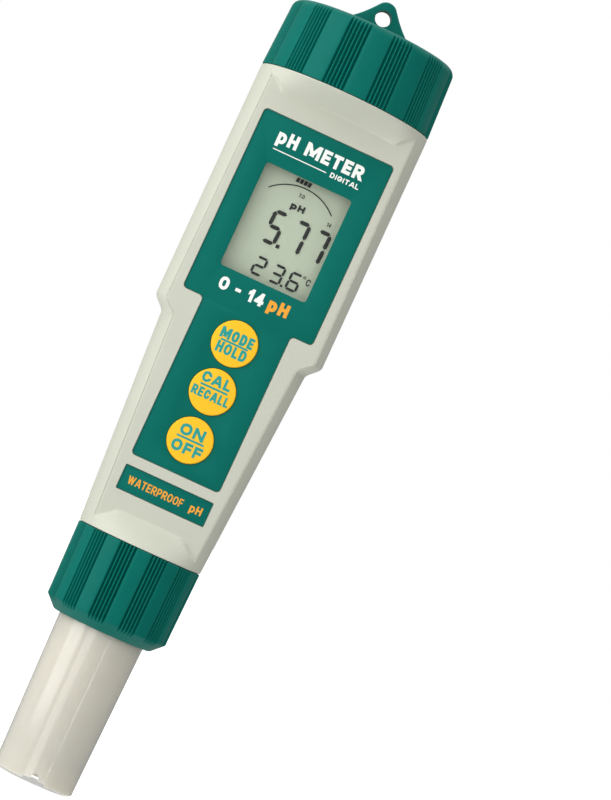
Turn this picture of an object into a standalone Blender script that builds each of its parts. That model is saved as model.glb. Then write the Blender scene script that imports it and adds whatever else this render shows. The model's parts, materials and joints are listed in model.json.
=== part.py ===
"""Pocket pH meter: a stick-shaped tester with a screwed battery cap and a screwed-on electrode.

The meter stands on the rim of its electrode. The Z axis is its long axis, the display faces -Y,
and the origin is the middle of the electrode's rim. The body is a turned shape with one flat cut
along its front. The flat leans a little, so everything behind it is built in the flat's own frame:
there x is across, y is the depth behind the flat and z runs up along it.
Sizes are written in millimetres and turned to metres when a mesh is made.
"""

import math

import bmesh
import bpy
from mathutils import Matrix, Vector

MM = 0.001
GAP = 0.3                     # room left between two pieces that touch
TINY = 1e-6

# Body
BODY_BOTTOM = 51.7
BODY_TOP = 150.7
WALL = 2.0
BODY_RADIUS_BOTTOM = 13.4
BODY_TAPER = 0.0578           # growth of the radius per millimetre below the shoulder
SHOULDER_LOW = 96.4
SHOULDER_HIGH = 99.9
BODY_RADIUS_TOP = 18.5
FLAT_DEPTH_AT_ZERO = 6.42     # distance from the axis to the front flat, at z = 0
FLAT_SLOPE = 0.02             # growth of that distance per millimetre up
FLAT_TILT = math.atan(FLAT_SLOPE)
TOP_CREASE = (146.3, 12.5)    # height and half width of the crease under the upper facet
TOP_CREASE_END = (149.1, 15.9)
BOTTOM_CREASE = (56.8, 6.9)
BOTTOM_CREASE_END = (53.7, 11.05)
FLAT_COLUMNS = (-1.0, -0.9, -0.78, -0.595, -0.3, 0.0, 0.3, 0.595, 0.78, 0.9, 1.0)
BACK_COLUMNS = 20
SEAM = 0.15                   # half the gap at the seam between the two shells
TONGUE = 1.0                  # how far the rear shell's tongue enters the front shell

# Front panel, in the flat's frame
RECESS = 0.8
FILM_NEAR, FILM_FAR = 0.2, 0.5
PANEL_NARROW = (9.64, 68.1)   # half width and lowest edge of the narrow part
PANEL_WIDE = (14.26, 102.8, 142.3)
PANEL_CORNER = 0.9
WINDOW = (9.43, 110.0, 132.6)
LABEL = (9.57, 60.6, 65.7)
LENS = (10.3, 109.1, 133.5)
LCD = (12.0, 107.5, 134.5)
LCD_NEAR, LCD_FAR = 2.3, 4.1
LCD_FRAME_WALL = 1.1
ZEBRA = (10.0, 1.6)           # half length and thickness of a rubber connector strip

# Keys
KEY_HEIGHTS = {"mode": 96.6, "cal": 86.0, "power": 75.3}
KEY_RADIUS = 4.75
KEY_HOLE_RADIUS = 4.9
KEY_BORE_RADIUS = 4.92
KEY_FLANGE_RADIUS = 5.15
SWITCH_SIZE = 6.0
SWITCH_NEAR = 4.3

# Circuit board
BOARD_NEAR, BOARD_FAR = 6.2, 7.4
BOARD_NARROW = (10.2, 60.0)
BOARD_WIDE = (14.2, 101.0, 137.5)
BOSS_RADIUS = 2.0
BOSS_PLACES = ((-8.3, 64.0), (8.3, 64.0), (-12.6, 103.4), (12.6, 103.4))

# Screw threads
LEAD = 3.0                    # rise of a thread in one turn
THREAD_STEPS = 24             # points in one turn
THREAD_BASE, THREAD_CREST = 1.2, 0.6
THREAD_SUNK = 0.25

# Battery end
CAP_BOTTOM, CAP_TOP = 151.0, 166.0
CAP_SHOULDER, CAP_SHOULDER_RADIUS = 164.0, 17.93
CAP_BORE, CAP_CEILING = 16.75, 163.6
NECK_RADIUS, NECK_BORE, NECK_BOTTOM, NECK_TOP = 15.5, 14.2, 150.5, 162.0
NECK_THREAD_CREST, NECK_THREAD_START, NECK_THREAD_TURNS = 16.35, 153.4, 2.25
CAP_THREAD_CREST, CAP_THREAD_TURNS = 15.9, 1.25
POCKET_HALF, POCKET_NEAR, POCKET_FAR, POCKET_FLOOR = 10.85, -6.15, 9.05, 139.5
FLANGE_LOW, FLANGE_HIGH, FLANGE_RADIUS, FLANGE_CUT = 147.5, 149.0, 17.4, -6.9
CELL_RADIUS, CELL_THICKNESS, CELL_COUNT, CELL_GAP = 10.0, 3.2, 4, 0.16
CARRIER_HALF, CARRIER_NEAR, CARRIER_FAR = 10.6, -5.9, 8.85
CARRIER_LOW, CARRIER_HIGH = 140.0, 161.5
CARRIER_WALL = 0.6
LUG_TOP, LUG_BASE_HALF, LUG_TOP_RADIUS, LUG_HALF_THICKNESS = 172.9, 8.3, 2.3, 2.0
LUG_HOLE_HEIGHT, LUG_HOLE_RADIUS = 169.4, 1.7
GRIP_GROUPS = 12
GRIP_DEPTH = 0.4
GRIP_EDGE = 0.6               # angle of the sloping edge of a grip band, in degrees
CAP_GRIP = (-11.9, 15.0)      # angle of the first band's middle and a band's width
COLLAR_GRIP = (-8.7, 16.0)

# Electrode end
COLLAR_BOTTOM, COLLAR_TOP = 33.1, 51.4
COLLAR_CORNER = (13.07, 35.5)
COLLAR_RADIUS_TOP = 13.4
COLLAR_BORE, COLLAR_SEAT, COLLAR_HOLE = 11.6, 36.3, 9.5
SOCKET_RADIUS, SOCKET_BORE, SOCKET_BOTTOM = 10.4, 8.4, 38.9
SOCKET_WALL_LOW, SOCKET_WALL_HIGH = 50.3, 52.0
SOCKET_FLANGE = (12.3, 53.2, 54.7)
SOCKET_CUT = -5.0
SOCKET_THREAD_CREST, SOCKET_THREAD_START, SOCKET_THREAD_TURNS = 11.25, 41.0, 2.75
COLLAR_THREAD_CREST, COLLAR_THREAD_FIRST, COLLAR_THREAD_TURNS = 10.75, 0.75, 1.5
TUBE_TIP_RADIUS, TUBE_RADIUS = 8.47, 9.22
TUBE_FLANGE = (10.2, 36.6, 38.6)
TUBE_SPIGOT, TUBE_TOP = 8.1, 47.4
TUBE_BORE_LOW, TUBE_BORE_HIGH = 7.3, 6.2
ORING_GROOVE = (7.1, 42.0, 43.6)
PIN_RING, PIN_ANGLES = 3.2, (90.0, 210.0, 330.0)
HOLDER_LOW, HOLDER_HIGH = 4.0, 8.0
BULB_RADIUS, BULB_BOTTOM, BULB_TOP = 3.0, 1.6, 32.0
SIDE_SENSOR_RING = 5.1
JUNCTION_ANGLE, PROBE_ANGLE = 200.0, 340.0

LOOKS = {                     # sRGB colour, roughness, metallic
    "housing_plastic": ("DCDCD2", 0.55, 0.0),
    "cap_plastic": ("007869", 0.38, 0.0),
    "printed_film": ("006E62", 0.4, 0.0),
    "key_rubber": ("FFC423", 0.5, 0.0),
    "clear_acrylic": ("DDE4E0", 0.05, 0.0),
    "display_glass": ("B2BCA8", 0.15, 0.0),
    "dark_plastic": ("3A3C3E", 0.5, 0.0),
    "connector_rubber": ("C9A2A6", 0.7, 0.0),
    "circuit_board": ("1F6A3C", 0.45, 0.0),
    "chip_epoxy": ("202224", 0.5, 0.0),
    "steel": ("B9BDC1", 0.3, 1.0),
    "gold_plate": ("E2BC5C", 0.25, 1.0),
    "seal_rubber": ("1C1D1E", 0.7, 0.0),
    "neck_plastic": ("C9CBC2", 0.5, 0.0),
    "electrode_plastic": ("D6D0C2", 0.2, 0.0),
    "sensor_glass": ("CFE0E4", 0.04, 0.0),
    "silver_wire": ("D8D9DB", 0.28, 1.0),
    "porous_ceramic": ("F0EEE6", 0.9, 0.0),
}


def clear_scene():
    for item in list(bpy.data.objects):
        bpy.data.objects.remove(item, do_unlink=True)


def linear(level):
    """One sRGB channel, 0 to 1, as linear light."""
    if level <= 0.04045:
        return level / 12.92
    return ((level + 0.055) / 1.055) ** 2.4


def material(name):
    """The Principled material of that name from LOOKS, made on first use."""
    found = bpy.data.materials.get(name)
    if found:
        return found
    colour, roughness, metallic = LOOKS[name]
    channels = [linear(int(colour[i:i + 2], 16) / 255.0) for i in (0, 2, 4)]
    made = bpy.data.materials.new(name)
    made.use_nodes = True
    shader = made.node_tree.nodes["Principled BSDF"]
    shader.inputs["Base Color"].default_value = (*channels, 1.0)
    shader.inputs["Roughness"].default_value = roughness
    shader.inputs["Metallic"].default_value = metallic
    made.diffuse_color = (*channels, 1.0)
    return made


def solid(name, shape, look, parent=None, place=(0.0, 0.0, 0.0), turn=(0.0, 0.0, 0.0)):
    """An object from a closed bmesh in millimetres."""
    bmesh.ops.recalc_face_normals(shape, faces=shape.faces)
    bmesh.ops.scale(shape, vec=(MM, MM, MM), verts=shape.verts)
    mesh = bpy.data.meshes.new(name)
    shape.to_mesh(mesh)
    shape.free()
    mesh.shade_smooth()
    mesh.set_sharp_from_angle(angle=math.radians(35.0))
    mesh.materials.append(material(look))
    made = bpy.data.objects.new(name, mesh)
    bpy.context.scene.collection.objects.link(made)
    made.parent = parent
    made.location = Vector(place) * MM
    made.rotation_euler = turn
    return made


def tool(name, shape, parent=None, place=(0.0, 0.0, 0.0), turn=(0.0, 0.0, 0.0)):
    """A guide that only cuts or joins other objects."""
    made = solid(name, shape, "dark_plastic", parent, place, turn)
    made.hide_render = True
    made.display_type = "WIRE"
    return made


def combine(target, other, operation):
    step = target.modifiers.new(operation.lower() + "_" + other.name, "BOOLEAN")
    step.object = other
    step.operation = operation
    step.solver = "EXACT"


def cut(target, *others):
    for other in others:
        combine(target, other, "DIFFERENCE")


def join(target, *others):
    for other in others:
        combine(target, other, "UNION")


def even_columns(count):
    """Plain columns of a turned shape: (angle, recess)."""
    return [(math.tau * i / count, 0.0) for i in range(count)]


def grip_columns(first_angle, width):
    """Columns of a turned shape with bands of grip sunk into its side."""
    columns = []
    pitch = 360.0 / GRIP_GROUPS
    for group in range(GRIP_GROUPS):
        middle = first_angle - 90.0 + group * pitch
        half = width / 2.0
        for offset, recess in (
            (-half - GRIP_EDGE, 0.0), (-half, GRIP_DEPTH), (half, GRIP_DEPTH),
            (half + GRIP_EDGE, 0.0), (pitch / 2.0, 0.0),
        ):
            columns.append((math.radians(middle + offset), recess))
    return columns


def turned(profile, columns=None, centre=(0.0, 0.0)):
    """A closed solid turned about Z. profile runs once around the section as (radius, height),
    or (radius, height, True) where a column's recess applies. An end at radius 0 is a flat
    face if its neighbour is at the same height, and else a cone."""
    columns = columns or even_columns(32)
    shape = bmesh.new()
    poles = {}
    rings = []
    for angle, recess in columns:
        ring = []
        for index, point in enumerate(profile):
            radius, height = point[0], point[1]
            if radius < TINY:
                ring.append(None)
                continue
            if len(point) > 2:
                radius -= recess
            ring.append(shape.verts.new((centre[0] + radius * math.cos(angle),
                                         centre[1] + radius * math.sin(angle), height)))
        rings.append(ring)
    for k, point in enumerate(profile):
        n = (k + 1) % len(profile)
        after = profile[n]
        if point[0] < TINY and after[0] < TINY:
            continue
        if point[0] < TINY or after[0] < TINY:
            axis_point, edge = (k, n) if point[0] < TINY else (n, k)
            height = profile[axis_point][1]
            if abs(height - profile[edge][1]) < TINY:
                shape.faces.new([ring[edge] for ring in rings])
                continue
            if axis_point not in poles:
                poles[axis_point] = shape.verts.new((centre[0], centre[1], height))
            for i, ring in enumerate(rings):
                shape.faces.new((ring[edge], rings[(i + 1) % len(rings)][edge], poles[axis_point]))
            continue
        for i, ring in enumerate(rings):
            other = rings[(i + 1) % len(rings)]
            shape.faces.new((ring[k], other[k], other[n], ring[n]))
    return shape


def rod(radius, low, high, count=12, centre=(0.0, 0.0)):
    shape = bmesh.new()
    middle = Matrix.Translation((centre[0], centre[1], (low + high) / 2.0))
    bmesh.ops.create_cone(shape, cap_ends=True, segments=count, radius1=radius, radius2=radius,
                          depth=high - low, matrix=middle)
    return shape


def ring(inner, outer, low, high, count=32, centre=(0.0, 0.0)):
    return turned([(inner, low), (outer, low), (outer, high), (inner, high)],
                  even_columns(count), centre)


def torus(radius, thickness, height, count=24, sides=6):
    """An O-ring: thickness is the radius of its round section."""
    profile = []
    for i in range(sides):
        angle = math.tau * i / sides
        profile.append((radius + thickness * math.cos(angle), height + thickness * math.sin(angle)))
    return turned(profile, even_columns(count))


def block(x_low, x_high, y_low, y_high, z_low, z_high):
    outline = [(x_low, z_low), (x_high, z_low), (x_high, z_high), (x_low, z_high)]
    return plate(outline, y_low, y_high)


def plate(outline, near, far):
    """A flat plate: its outline is in x and z, and it runs from y = near to y = far."""
    shape = bmesh.new()
    front = [shape.verts.new((x, near, z)) for x, z in outline]
    back = [shape.verts.new((x, far, z)) for x, z in outline]
    shape.faces.new(front)
    shape.faces.new(list(reversed(back)))
    for i in range(len(outline)):
        n = (i + 1) % len(outline)
        shape.faces.new((front[i], back[i], back[n], front[n]))
    return shape


def rounded(corners, steps=4):
    """An outline whose corners (x, z, radius) are turned to arcs."""
    outline = []
    count = len(corners)
    for i, (x, z, radius) in enumerate(corners):
        here = Vector((x, z))
        back = (Vector(corners[i - 1][:2]) - here).normalized()
        ahead = (Vector(corners[(i + 1) % count][:2]) - here).normalized()
        half = back.angle(ahead) / 2.0
        centre = here + (back + ahead).normalized() * (radius / math.sin(half))
        start = here + back * (radius / math.tan(half)) - centre
        sweep = math.pi - 2.0 * half
        if start.x * back.y - start.y * back.x > 0.0:
            sweep = -sweep
        for k in range(steps + 1):
            angle = sweep * k / steps
            outline.append((centre.x + start.x * math.cos(angle) - start.y * math.sin(angle),
                            centre.y + start.x * math.sin(angle) + start.y * math.cos(angle)))
    return outline


def rectangle(half, low, high, corner, margin=0.0):
    return rounded([(-half - margin, low - margin, corner), (half + margin, low - margin, corner),
                    (half + margin, high + margin, corner), (-half - margin, high + margin, corner)])


def stepped(narrow, wide, corner, margin=0.0):
    """The outline of a plate that is wider in its upper part."""
    half_low, low = narrow
    half_high, step, high = wide
    half_low += margin
    half_high += margin
    low -= margin
    step -= margin
    high += margin
    return rounded([(-half_low, low, corner), (half_low, low, corner), (half_low, step, corner),
                    (half_high, step, corner), (half_high, high, corner),
                    (-half_high, high, corner), (-half_high, step, corner),
                    (-half_low, step, corner)])


def thread(wall, crest, start, turns, first_turn=0.0):
    """The ridge of a right-handed screw thread, sunk a little into its wall."""
    sunk = wall - THREAD_SUNK if crest > wall else wall + THREAD_SUNK
    shape = bmesh.new()
    sections = []
    steps = int(round(turns * THREAD_STEPS))
    for i in range(steps + 1):
        turn = first_turn + turns * i / steps
        height = start + LEAD * turn
        across = Vector((math.cos(math.tau * turn), math.sin(math.tau * turn)))
        section = []
        for radius, offset in (
            (sunk, -THREAD_BASE / 2.0), (crest, -THREAD_CREST / 2.0),
            (crest, THREAD_CREST / 2.0), (sunk, THREAD_BASE / 2.0),
        ):
            section.append(shape.verts.new((across.x * radius, across.y * radius, height + offset)))
        sections.append(section)
    for here, after in zip(sections, sections[1:]):
        for k in range(4):
            n = (k + 1) % 4
            shape.faces.new((here[k], after[k], after[n], here[n]))
    shape.faces.new(sections[0])
    shape.faces.new(list(reversed(sections[-1])))
    return shape


def body_radius(z):
    """Radius of the turned body at height z."""
    taper = BODY_RADIUS_BOTTOM + BODY_TAPER * (min(z, SHOULDER_LOW) - BODY_BOTTOM)
    t = min(max((z - SHOULDER_LOW) / (SHOULDER_HIGH - SHOULDER_LOW), 0.0), 1.0)
    return taper + (BODY_RADIUS_TOP - taper) * t * t * (3.0 - 2.0 * t)


def flare(x, z):
    """How far the front has left its flat for the round rim, from 0 to 1, near either end."""
    risen = 0.0
    for crease, crease_end, rim in ((TOP_CREASE, TOP_CREASE_END, BODY_TOP),
                                    (BOTTOM_CREASE, BOTTOM_CREASE_END, BODY_BOTTOM)):
        along = min(max((abs(x) - crease[1]) / (crease_end[1] - crease[1]), 0.0), 1.0)
        start = crease[0] + (crease_end[0] - crease[0]) * along
        risen = max(risen, min((z - start) / (rim - start), 1.0))
    return risen


def body_section(z, inset):
    """One ring of the body's outline at height z, the flat first and then the round back."""
    radius = body_radius(z) - inset
    flat = FLAT_DEPTH_AT_ZERO + FLAT_SLOPE * z - inset
    ridge = math.sqrt(radius * radius - flat * flat)
    points = []
    for share in FLAT_COLUMNS:
        x = share * ridge
        around = math.sqrt(radius * radius - x * x)
        points.append((x, -(flat + (around - flat) * flare(x, z)), z))
    ridge_angle = math.asin(flat / radius)
    for i in range(1, BACK_COLUMNS):
        angle = -ridge_angle + (math.pi + 2.0 * ridge_angle) * i / BACK_COLUMNS
        points.append((radius * math.cos(angle), radius * math.sin(angle), z))
    return points


def body_loft(inset, below=0.0, above=0.0):
    """The body as one closed solid, drawn in by inset and run past its ends."""
    shoulder_steps = 4
    heights = [BODY_BOTTOM, BOTTOM_CREASE_END[0], BOTTOM_CREASE[0]]
    for i in range(shoulder_steps + 1):
        heights.append(SHOULDER_LOW + (SHOULDER_HIGH - SHOULDER_LOW) * i / shoulder_steps)
    heights += [TOP_CREASE[0], TOP_CREASE_END[0], BODY_TOP]
    if below:
        heights.insert(0, BODY_BOTTOM - below)
    if above:
        heights.append(BODY_TOP + above)
    shape = bmesh.new()
    rings = [[shape.verts.new(point) for point in body_section(z, inset)] for z in heights]
    for low, high in zip(rings, rings[1:]):
        for k in range(len(low)):
            n = (k + 1) % len(low)
            shape.faces.new((low[k], low[n], high[n], high[k]))
    shape.faces.new(list(reversed(rings[0])))
    shape.faces.new(rings[-1])
    return shape


def make_front_frame():
    """The frame of the leaning front flat."""
    frame = bpy.data.objects.new("front_flat_frame", None)
    bpy.context.scene.collection.objects.link(frame)
    frame.location = (0.0, -FLAT_DEPTH_AT_ZERO * MM, 0.0)
    frame.rotation_euler = (FLAT_TILT, 0.0, 0.0)
    bpy.context.view_layer.update()
    return frame


INWARD = (-math.pi / 2.0, 0.0, 0.0)     # turns a turned shape's axis to run into the body


def make_housings(frame):
    front = solid("front_housing", body_loft(0.0), "housing_plastic")
    rear = solid("rear_housing", body_loft(0.0), "housing_plastic")
    cavity = tool("cavity_tool", body_loft(WALL, 1.0, 1.0))

    wide = 40.0
    behind_seam = tool("behind_seam_tool", block(-wide, wide, -SEAM, wide, 0.0, 200.0))
    groove = tool("groove_tool", body_loft(WALL / 2.0 - 0.05, 1.0, 1.0))
    groove_reach = tool("groove_reach_tool", block(-wide, wide, -SEAM - TONGUE, 2.0, 0.0, 200.0))
    combine(groove, groove_reach, "INTERSECT")
    before_seam = tool("before_seam_tool", block(-wide, wide, -wide, SEAM, 0.0, 200.0))
    tongue = tool("tongue_tool", body_loft(WALL / 2.0 + 0.1, 2.0, 2.0))
    tongue_reach = tool("tongue_reach_tool", block(-wide, wide, SEAM - TONGUE, 2.0, 0.0, 200.0))
    combine(tongue, tongue_reach, "INTERSECT")
    cut(before_seam, tongue)

    neck_groove = tool("neck_groove_tool", rod(FLANGE_RADIUS + 0.35, FLANGE_LOW - GAP,
                                               FLANGE_HIGH + GAP, 36))
    neck_clear = tool("neck_clear_tool", block(-wide, wide, -wide, FLANGE_CUT - GAP, 100.0, 200.0))
    cut(neck_groove, neck_clear)
    flange_radius, flange_low, flange_high = SOCKET_FLANGE
    socket_groove = tool("socket_groove_tool", rod(flange_radius + 0.3, flange_low - GAP,
                                                   flange_high + GAP, 36))
    socket_clear = tool("socket_clear_tool", block(-wide, wide, -wide, SOCKET_CUT - GAP, 0.0, 100.0))
    cut(socket_groove, socket_clear)

    cut(rear, cavity, neck_groove, socket_groove, before_seam)
    cut(front, cavity, neck_groove, socket_groove, behind_seam, groove)

    for name, outline, near, far in (
        ("panel_recess_tool", stepped(PANEL_NARROW, PANEL_WIDE, PANEL_CORNER, 0.15), -1.0, RECESS),
        ("label_recess_tool", rectangle(*LABEL, 0.3, 0.15), -1.0, RECESS),
        ("window_tool", rectangle(*LENS, 1.0, GAP), -1.0, WALL + 1.0),
    ):
        cut(front, tool(name, plate(outline, near, far), frame))
    for name, height in KEY_HEIGHTS.items():
        bore = rod(KEY_BORE_RADIUS, -1.0, WALL + 1.0, 24)
        cut(front, tool(name + "_bore_tool", bore, frame, (0.0, 0.0, height), INWARD))
    for i, (x, height) in enumerate(BOSS_PLACES):
        boss = rod(BOSS_RADIUS, WALL - 0.5, BOARD_NEAR - GAP)
        pilot = rod(0.75, WALL + 0.6, BOARD_NEAR + 1.0, 12)
        join(front, tool("boss_tool_%d" % (i + 1), boss, frame, (x, 0.0, height), INWARD))
        cut(front, tool("pilot_tool_%d" % (i + 1), pilot, frame, (x, 0.0, height), INWARD))


def make_panel(frame):
    outline = stepped(PANEL_NARROW, PANEL_WIDE, PANEL_CORNER)
    panel = solid("overlay_panel", plate(outline, FILM_NEAR, FILM_FAR), "printed_film", frame)
    cut(panel, tool("panel_window_tool", plate(rectangle(*WINDOW, 0.7), -1.0, 2.0), frame))
    for name, height in KEY_HEIGHTS.items():
        hole = rod(KEY_HOLE_RADIUS, -1.0, 2.0, 24)
        cut(panel, tool(name + "_hole_tool", hole, frame, (0.0, 0.0, height), INWARD))
    solid("small_label", plate(rectangle(*LABEL, 0.2), FILM_NEAR, FILM_FAR), "printed_film", frame)
    solid("lcd_window", plate(rectangle(*LENS, 0.8), RECESS, WALL), "clear_acrylic", frame)


def make_display(frame):
    half, low, high = LCD
    solid("lcd_glass", block(-half, half, LCD_NEAR, LCD_FAR, low, high), "display_glass", frame)
    inside = GAP
    outside = GAP + LCD_FRAME_WALL
    shell = block(-half - outside, half + outside, LCD_NEAR, BOARD_NEAR - GAP,
                  low - outside, high + outside)
    frame_piece = solid("lcd_frame", shell, "dark_plastic", frame)
    glass_room = block(-half - inside, half + inside, 0.0, LCD_FAR + GAP,
                       low - inside, high + inside)
    strip_half, strip = ZEBRA
    back_room = block(-strip_half - GAP, strip_half + GAP, 2.0, BOARD_FAR, low - inside, high + inside)
    cut(frame_piece, tool("glass_room_tool", glass_room, frame))
    cut(frame_piece, tool("back_room_tool", back_room, frame))
    for name, z in (("zebra_upper", high - strip), ("zebra_lower", low)):
        shape = block(-strip_half, strip_half, LCD_FAR + GAP, BOARD_NEAR - GAP, z, z + strip)
        solid(name, shape, "connector_rubber", frame)


def make_board(frame):
    outline = stepped(BOARD_NARROW, BOARD_WIDE, 0.6)
    board = solid("main_pcb", plate(outline, BOARD_NEAR, BOARD_FAR), "circuit_board", frame)
    for i, (x, height) in enumerate(BOSS_PLACES):
        hole = rod(1.0, BOARD_NEAR - 1.0, BOARD_FAR + 1.0, 12)
        cut(board, tool("board_hole_tool_%d" % (i + 1), hole, frame, (x, 0.0, height), INWARD))
        head = BOARD_FAR + 0.2
        profile = [(0.0, WALL + 1.2), (0.6, WALL + 1.2), (0.6, head), (1.7, head),
                   (1.7, head + 0.7), (1.2, head + 1.1), (0.5, head + 1.1), (0.5, head + 0.5),
                   (0.0, head + 0.5)]
        solid("pcb_screw_%d" % (i + 1), turned(profile, even_columns(12)), "steel", frame,
              (x, 0.0, height), INWARD)
    behind = BOARD_FAR + GAP
    for name, x, z, wide, tall, thick, look in (
        ("microcontroller", 0.0, 118.0, 10.0, 10.0, 1.4, "chip_epoxy"),
        ("amplifier_chip", -2.0, 76.0, 5.0, 4.0, 1.3, "chip_epoxy"),
        ("crystal", 9.0, 118.0, 2.4, 7.0, 2.0, "steel"),
        ("reference_capacitor", 4.0, 76.0, 3.2, 1.8, 1.5, "porous_ceramic"),
        ("sensor_connector", 0.0, 64.0, 9.0, 3.6, 3.4, "dark_plastic"),
    ):
        shape = block(x - wide / 2.0, x + wide / 2.0, behind, behind + thick,
                      z - tall / 2.0, z + tall / 2.0)
        solid(name, shape, look, frame)


def make_keys(frame):
    half = SWITCH_SIZE / 2.0
    for name, height in KEY_HEIGHTS.items():
        profile = [(0.0, -0.1), (3.2, -0.05), (4.35, 0.05), (KEY_RADIUS, 0.35),
                   (KEY_RADIUS, WALL + 0.3), (KEY_FLANGE_RADIUS, WALL + 0.3),
                   (KEY_FLANGE_RADIUS, WALL + 0.9), (1.6, WALL + 0.9), (1.6, 3.75), (0.0, 3.75)]
        solid(name + "_key", turned(profile, even_columns(24)), "key_rubber", frame,
              (0.0, 0.0, height), INWARD)
        body = block(-half, half, SWITCH_NEAR, BOARD_NEAR - GAP, height - half, height + half)
        solid(name + "_switch", body, "dark_plastic", frame)


def make_battery_neck():
    """Threaded neck with the battery pocket under it, held by a flange between the shells."""
    profile = [(0.0, NECK_BOTTOM), (NECK_RADIUS, NECK_BOTTOM), (NECK_RADIUS, NECK_TOP),
               (NECK_BORE, NECK_TOP), (NECK_BORE, NECK_BOTTOM + 1.2), (0.0, NECK_BOTTOM + 1.2)]
    neck = solid("battery_neck", turned(profile, even_columns(36)), "neck_plastic")
    flange = tool("neck_flange_tool", rod(FLANGE_RADIUS, FLANGE_LOW, FLANGE_HIGH, 36))
    front = tool("neck_flange_cut_tool", block(-40.0, 40.0, -40.0, FLANGE_CUT, 140.0, 155.0))
    cut(flange, front)
    wall = 1.0
    pocket = tool("pocket_wall_tool", block(
        -POCKET_HALF - wall, POCKET_HALF + wall, POCKET_NEAR - wall + 0.15, POCKET_FAR + wall,
        POCKET_FLOOR - 1.2, NECK_BOTTOM + 0.6))
    room = tool("pocket_room_tool", block(-POCKET_HALF, POCKET_HALF, POCKET_NEAR, POCKET_FAR,
                                          POCKET_FLOOR, NECK_BOTTOM + 3.0))
    ridge = tool("neck_thread_tool", thread(NECK_RADIUS, NECK_THREAD_CREST, NECK_THREAD_START,
                                            NECK_THREAD_TURNS))
    join(neck, pocket, flange, ridge)
    cut(neck, room)
    for name, x in (("plus", -5.0), ("minus", 5.0)):
        slot = block(x - 1.8, x + 1.8, -1.65, -0.65, POCKET_FLOOR - 3.0, POCKET_FLOOR + 1.0)
        cut(neck, tool("contact_slot_tool_" + name, slot))
        blade = block(x - 1.5, x + 1.5, -1.35, -0.95, POCKET_FLOOR - 4.0, CARRIER_LOW + 0.9)
        solid("battery_contact_" + name, blade, "gold_plate")
    solid("neck_oring", torus((NECK_RADIUS + CAP_BORE) / 2.0, 0.45, 151.9), "seal_rubber")


def make_battery_carrier():
    carrier = solid("battery_carrier", block(-CARRIER_HALF, CARRIER_HALF, CARRIER_NEAR, CARRIER_FAR,
                                             CARRIER_LOW, CARRIER_HIGH), "dark_plastic")
    low = CARRIER_LOW + 1.0
    room = tool("carrier_room_tool", block(
        -CARRIER_HALF + 0.4, CARRIER_HALF - 0.4, CARRIER_NEAR + CARRIER_WALL,
        CARRIER_FAR - CARRIER_WALL, low, CARRIER_HIGH + 2.0))
    sides = tool("carrier_window_tool", block(-20.0, 20.0, CARRIER_NEAR + 2.0, CARRIER_FAR - 2.0,
                                              low + 4.0, CARRIER_HIGH - 4.0))
    slots = tool("carrier_slot_tool", block(-7.0, 7.0, -1.9, -0.4, CARRIER_LOW - 1.0, low + 1.0))
    cut(carrier, room, sides, slots)
    middle = low + 0.2 + CELL_RADIUS
    near = CARRIER_NEAR + CARRIER_WALL + CELL_GAP
    for i in range(CELL_COUNT):
        start = near + i * (CELL_THICKNESS + CELL_GAP)
        profile = [(0.0, 0.0), (8.4, 0.0), (8.6, 0.25), (9.7, 0.25), (CELL_RADIUS, 0.6),
                   (CELL_RADIUS, CELL_THICKNESS), (0.0, CELL_THICKNESS)]
        solid("coin_cell_%d" % (i + 1), turned(profile, even_columns(24)), "steel", None,
              (0.0, start, middle), INWARD)


def make_battery_cap():
    profile = [
        (CAP_BORE, CAP_BOTTOM), (BODY_RADIUS_TOP, CAP_BOTTOM, True),
        (CAP_SHOULDER_RADIUS, CAP_SHOULDER, True),
    ]
    corner = 2.0
    steps = 4
    for i in range(1, steps + 1):
        angle = math.radians(90.0 * i / steps)
        profile.append((CAP_SHOULDER_RADIUS - corner * (1.0 - math.cos(angle)) - 0.2 * i / steps,
                        CAP_SHOULDER + corner * math.sin(angle)))
    profile += [(0.0, CAP_TOP), (0.0, CAP_CEILING), (CAP_BORE, CAP_CEILING)]
    cap = solid("battery_cap", turned(profile, grip_columns(*CAP_GRIP)), "cap_plastic")
    ridge = thread(CAP_BORE, CAP_THREAD_CREST, NECK_THREAD_START + LEAD / 2.0, CAP_THREAD_TURNS)
    join(cap, tool("cap_thread_tool", ridge))

    outline = [(-LUG_BASE_HALF, CAP_TOP - 0.8), (LUG_BASE_HALF, CAP_TOP - 0.8)]
    centre = LUG_TOP - LUG_TOP_RADIUS
    arc_steps = 8
    first = math.radians(28.0)
    flank = [(LUG_BASE_HALF, CAP_TOP + 0.1), (6.9, CAP_TOP + 0.7), (4.4, CAP_TOP + 2.9)]
    outline += flank
    for i in range(arc_steps + 1):
        angle = first + (math.pi - 2.0 * first) * i / arc_steps
        outline.append((LUG_TOP_RADIUS * math.cos(angle), centre + LUG_TOP_RADIUS * math.sin(angle)))
    outline += [(-x, z) for x, z in reversed(flank)]
    lug = tool("lug_tool", plate(outline, -LUG_HALF_THICKNESS, LUG_HALF_THICKNESS))
    join(cap, lug)
    hole = rod(LUG_HOLE_RADIUS, -10.0, 10.0, 20)
    cut(cap, tool("lug_hole_tool", hole, None, (0.0, 0.0, LUG_HOLE_HEIGHT), INWARD))
    solid("cap_seal_washer", ring(13.0, 16.4, NECK_TOP + GAP, CAP_CEILING - GAP), "seal_rubber")


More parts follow.
